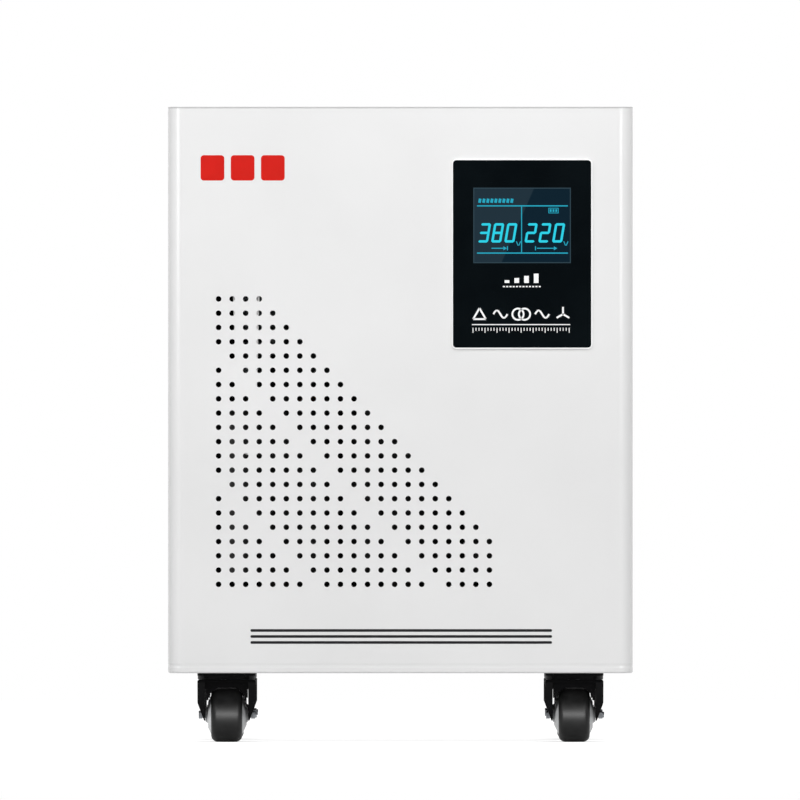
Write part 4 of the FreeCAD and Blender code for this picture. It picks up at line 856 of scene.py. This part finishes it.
def star_sign(bm, x, z, reach):
    """Three windings that meet in one point."""
    hole = SYMBOLS["star_hole"]
    for angle in (90, 210, 330):
        across, up = math.cos(math.radians(angle)), math.sin(math.radians(angle))
        bar(bm, x + hole * across, z + hole * up, x + reach * across, z + reach * up,
            SYMBOLS["stroke"], BEZEL_Y)


def tick_scale(bm):
    for i in range(SCALE["ticks"]):
        x = SCALE["left"] + i * (SCALE["right"] - SCALE["left"]) / (SCALE["ticks"] - 1)
        length = SCALE["short"] if i % 4 else SCALE["long"]
        bar(bm, x, SCALE["top"] - length, x, SCALE["top"], SCALE["width"], BEZEL_Y)


def rising_blocks(bm):
    for i in range(BLOCKS["blocks"]):
        x = BLOCKS["left"] + i * BLOCKS["pitch"]
        bar(bm, x, BLOCKS["low"], x, BLOCKS["low"] + BLOCKS["first"] + i * BLOCKS["rise"],
            BLOCKS["width"], BEZEL_Y)
    for i in range(DASHES["dashes"]):
        x = DASHES["left"] + i * DASHES["pitch"]
        bar(bm, x, DASHES["z"], x + DASHES["length"], DASHES["z"], DASHES["width"], BEZEL_Y)


def panel_print():
    """White print of the bezel: a row of plain circuit symbols over a rule and a scale."""
    bm = bmesh.new()
    z = SYMBOLS["low"] + SYMBOLS["height"] / 2
    reach = (SYMBOLS["height"] - SYMBOLS["stroke"]) / 2
    delta, first_wave, coils, second_wave, star = (
        SYMBOLS["first"] + i * SYMBOLS["pitch"] for i in range(5))
    delta_sign(bm, delta, z, reach)
    wave_sign(bm, first_wave, z)
    coils_sign(bm, coils, z)
    wave_sign(bm, second_wave, z)
    star_sign(bm, star, z, reach)
    bar(bm, RULE["left"], RULE["z"], RULE["right"], RULE["z"], RULE["width"], BEZEL_Y)
    tick_scale(bm)
    rising_blocks(bm)
    return printed("bezel_print", bm, white_ink)


panel_print()


# Print on the front sheet

BADGE = {"left": -184.86, "right": -107.07, "low": 519.67, "high": 543.16, "gap": 6.0,
         "corner": 3.0, "bars": 3}
STRIPES = {"left": -138.7, "right": 140.18, "top": 103.51, "pitch": 5.55, "width": 2.5,
           "cut": 0.7, "stripes": 3}


def badge():
    """Plain red bars at the upper left of the front."""
    bm = bmesh.new()
    gaps = (BADGE["bars"] - 1) * BADGE["gap"]
    width = (BADGE["right"] - BADGE["left"] - gaps) / BADGE["bars"]
    for i in range(BADGE["bars"]):
        x = BADGE["left"] + i * (width + BADGE["gap"])
        corners = rectangle(bm, x, x + width, BADGE["low"], BADGE["high"], -FACE_Y)
        round_corners(bm, corners, BADGE["corner"], steps=5)
    return printed("red_bars", bm, red_ink)


badge()


def foot_stripes():
    """Thin charcoal stripes low on the front."""
    bm = bmesh.new()
    for i in range(STRIPES["stripes"]):
        z = STRIPES["top"] - i * STRIPES["pitch"]
        bar(bm, STRIPES["left"], z, STRIPES["right"], z, STRIPES["width"], -FACE_Y,
            STRIPES["cut"])
    return printed("foot_stripes", bm, grey_ink)


foot_stripes()


# Caster treads

CORNERS = {1: "front_left", 2: "front_right", 3: "rear_left", 4: "rear_right"}
# The radius of the hub's rim that a tread is cast on, and the round of its shoulders.
TREAD_IN = 18.06
SHOULDER = 6


def tread(number, corner):
    """The tread of one wheel, its round shoulders turned about the axle."""
    low, high = extent(f"tyre_{number}")
    axle = (low + high) / 2
    seat = axle.z + TREAD_IN
    bm = bmesh.new()
    corners = rectangle(bm, low.x, high.x, seat, high.z, axle.y)
    round_corners(bm, [v for v in corners if v.co.z > seat + NEAR], SHOULDER, steps=10)
    bmesh.ops.delete(bm, geom=bm.faces[:], context="FACES_ONLY")
    bmesh.ops.spin(bm, geom=bm.verts[:] + bm.edges[:], cent=axle, axis=(1, 0, 0),
                   angle=2 * math.pi, steps=96, use_merge=True)
    bmesh.ops.remove_doubles(bm, verts=bm.verts, dist=MERGE)
    bmesh.ops.recalc_face_normals(bm, faces=bm.faces)
    return finished(f"{corner}_tread", bm, f"{corner}_wheel", tread_rubber,
                    (f"tyre_{number}",))


treads = [tread(number, corner) for number, corner in CORNERS.items()]


# Studio, in metres and watts

def seen(tree):
    """1 for what the camera sees, straight or by way of gloss or glass, and 0 for light."""
    path = add(tree, "LightPath").outputs
    share = path["Is Camera Ray"]
    for other in ("Is Glossy Ray", "Is Transmission Ray"):
        share = add(tree, "Math", {0: share, 1: path[other]},
                    operation="MAXIMUM").outputs["Value"]
    return share


def staged(name, bm, material):
    """Sets up something in the studio that isn't part of the object."""
    mesh = bpy.data.meshes.new(name)
    bm.to_mesh(mesh)
    bm.free()
    mesh.materials.append(material)
    obj = bpy.data.objects.new(name, mesh)
    bpy.context.scene.collection.objects.link(obj)
    return obj


def floor_finish():
    """A white sweep: it shows as white, and keeps the shadow of the object."""
    material, tree = blank("studio_floor_white")
    matt = add(tree, "BsdfDiffuse", {"Color": (0.42, 0.42, 0.42, 1)})
    # The glow fades into a painted contact shadow where a tyre stands on the floor, or else the
    # tyre's foot would mirror it.
    contact_shade = add(tree, "AmbientOcclusion", {"Color": (1, 1, 1, 1), "Distance": 0.03})
    level = add(tree, "Math", {0: contact_shade.outputs["AO"], 1: 0.88}, operation="MULTIPLY")
    glow = add(tree, "Emission", {"Color": (1, 1, 1, 1), "Strength": level.outputs["Value"]})
    shown = add(tree, "AddShader", {0: matt.outputs["BSDF"], 1: glow.outputs["Emission"]})
    lighting = add(tree, "BsdfDiffuse", {"Color": (0.6, 0.6, 0.6, 1)})
    both = add(tree, "MixShader", {"Fac": seen(tree), 1: lighting.outputs["BSDF"],
                                   2: shown.outputs["Shader"]})
    add(tree, "OutputMaterial", {"Surface": both.outputs["Shader"]})
    return material


def studio_floor():
    """A wide floor, a hair below the tyres."""
    bm = bmesh.new()
    bmesh.ops.create_grid(bm, x_segments=1, y_segments=1, size=4.0)
    bmesh.ops.translate(bm, vec=(0, 0, -0.0002), verts=bm.verts)
    staged("studio_floor", bm, floor_finish())


studio_floor()


def dark_card():
    """A black card behind the camera's line, so that the black film mirrors nothing bright."""
    material, tree = blank("black_felt")
    felt = add(tree, "BsdfDiffuse", {"Color": (0.002, 0.002, 0.002, 1)})
    add(tree, "OutputMaterial", {"Surface": felt.outputs["BSDF"]})
    bm = bmesh.new()
    rectangle(bm, -1.6, 1.6, 0.02, 1.82, -3.5)
    card = staged("dark_card", bm, material)
    card.visible_camera = False
    card.visible_diffuse = False
    card.visible_shadow = False
    card.visible_transmission = False


dark_card()


def world_light():
    """A soft fill from all round, which shows as white."""
    world = bpy.data.worlds.new("studio")
    bpy.context.scene.world = world
    world.use_nodes = True
    tree = world.node_tree
    tree.nodes.clear()
    fill = add(tree, "Background", {"Color": (1, 1, 1, 1), "Strength": 0.41})
    white = add(tree, "Background", {"Color": (1, 1, 1, 1), "Strength": 1.0})
    both = add(tree, "MixShader", {"Fac": seen(tree), 1: fill.outputs["Background"],
                                   2: white.outputs["Background"]})
    add(tree, "OutputWorld", {"Surface": both.outputs["Shader"]})


world_light()


def soft_lamp(name, at, aim, width, height, power):
    """A rectangular soft box at a place, turned to face a point."""
    light = bpy.data.lights.new(name, "AREA")
    light.shape = "RECTANGLE"
    light.size = width
    light.size_y = height
    light.energy = power
    lamp = bpy.data.objects.new(name, light)
    lamp.location = at
    lamp.rotation_mode = "QUATERNION"
    lamp.rotation_quaternion = (Vector(aim) - Vector(at)).to_track_quat("-Z", "Y")
    bpy.context.scene.collection.objects.link(lamp)
    return lamp


def flagged(lamp, pieces, state):
    """Gives a lamp's light to some pieces only, or keeps it off them, as a flag would."""
    group = bpy.data.collections.new(lamp.name + "_pieces")
    for piece in pieces:
        group.objects.link(piece)
    for linked in group.collection_objects:
        linked.light_linking.link_state = state
    lamp.light_linking.receiver_collection = group


# A key box high in front, and two side boxes that end above mid height, so that the bends catch
# them near the top only. The side boxes are kept off the top sheet, and the rear boxes out of
# all gloss, because the top would mirror them as white when it is seen from a low angle. The top
# has a box of its own right above it. A low strip lights the treads alone, and another the hubs.
soft_lamp("key_box", (0.0, -2.0, 2.2), (0, 0, 0.4), 2.0, 1.0, 18.4)
left_box = soft_lamp("left_box", (-1.43, -1.64, 1.21), (-0.2, -0.17, 1.21), 0.62, 1.58, 14.0)
right_box = soft_lamp("right_box", (1.0, -1.9, 1.21), (0.2, -0.17, 1.21), 0.62, 1.58, 14.6)
top_box = soft_lamp("top_box", (0, 0.1, 2.6), (0, 0, 0.6), 1.2, 1.2, 9)
for name, x in (("rear_left_box", -1.1), ("rear_right_box", 1.1)):
    rear_box = soft_lamp(name, (x, 2.3, 1.5), (0, 0, 0.35), 1.4, 1.0, 9)
    rear_box.visible_glossy = False
tread_strip = soft_lamp("tread_strip", (0.0, -1.6, 0.1), (0, -0.1, 0.05), 1.9, 0.2, 62)
hub_strip = soft_lamp("hub_strip", (-1.1, -1.2, 0.1), (0, -0.1, 0.05), 0.75, 0.2, 7)
hubs = [node for name, node in cad.items() if name.startswith("hub")]
flagged(left_box, [cover], "EXCLUDE")
flagged(right_box, [cover], "EXCLUDE")
flagged(top_box, [cover], "INCLUDE")
flagged(tread_strip, treads, "INCLUDE")
flagged(hub_strip, hubs, "INCLUDE")

# What the picture shows across, in the plane of the front, and the point at its middle.
SHOWN = 0.74
AIM_X, AIM_Z = -0.0004, 0.3167


def photo_camera():
    """A very long lens, level with the middle of the cabinet."""
    camera = bpy.data.cameras.new("photo_camera")
    camera.lens = 1500
    camera.sensor_width = 36
    camera.clip_end = 100
    distance = SHOWN * camera.lens / camera.sensor_width
    holder = bpy.data.objects.new("photo_camera", camera)
    holder.location = (AIM_X, -FACE_Y * MM - distance, AIM_Z)
    holder.rotation_euler = (math.pi / 2, 0, 0)
    bpy.context.scene.collection.objects.link(holder)
    bpy.context.scene.camera = holder


photo_camera()
bpy.context.scene.view_settings.view_transform = "Standard"
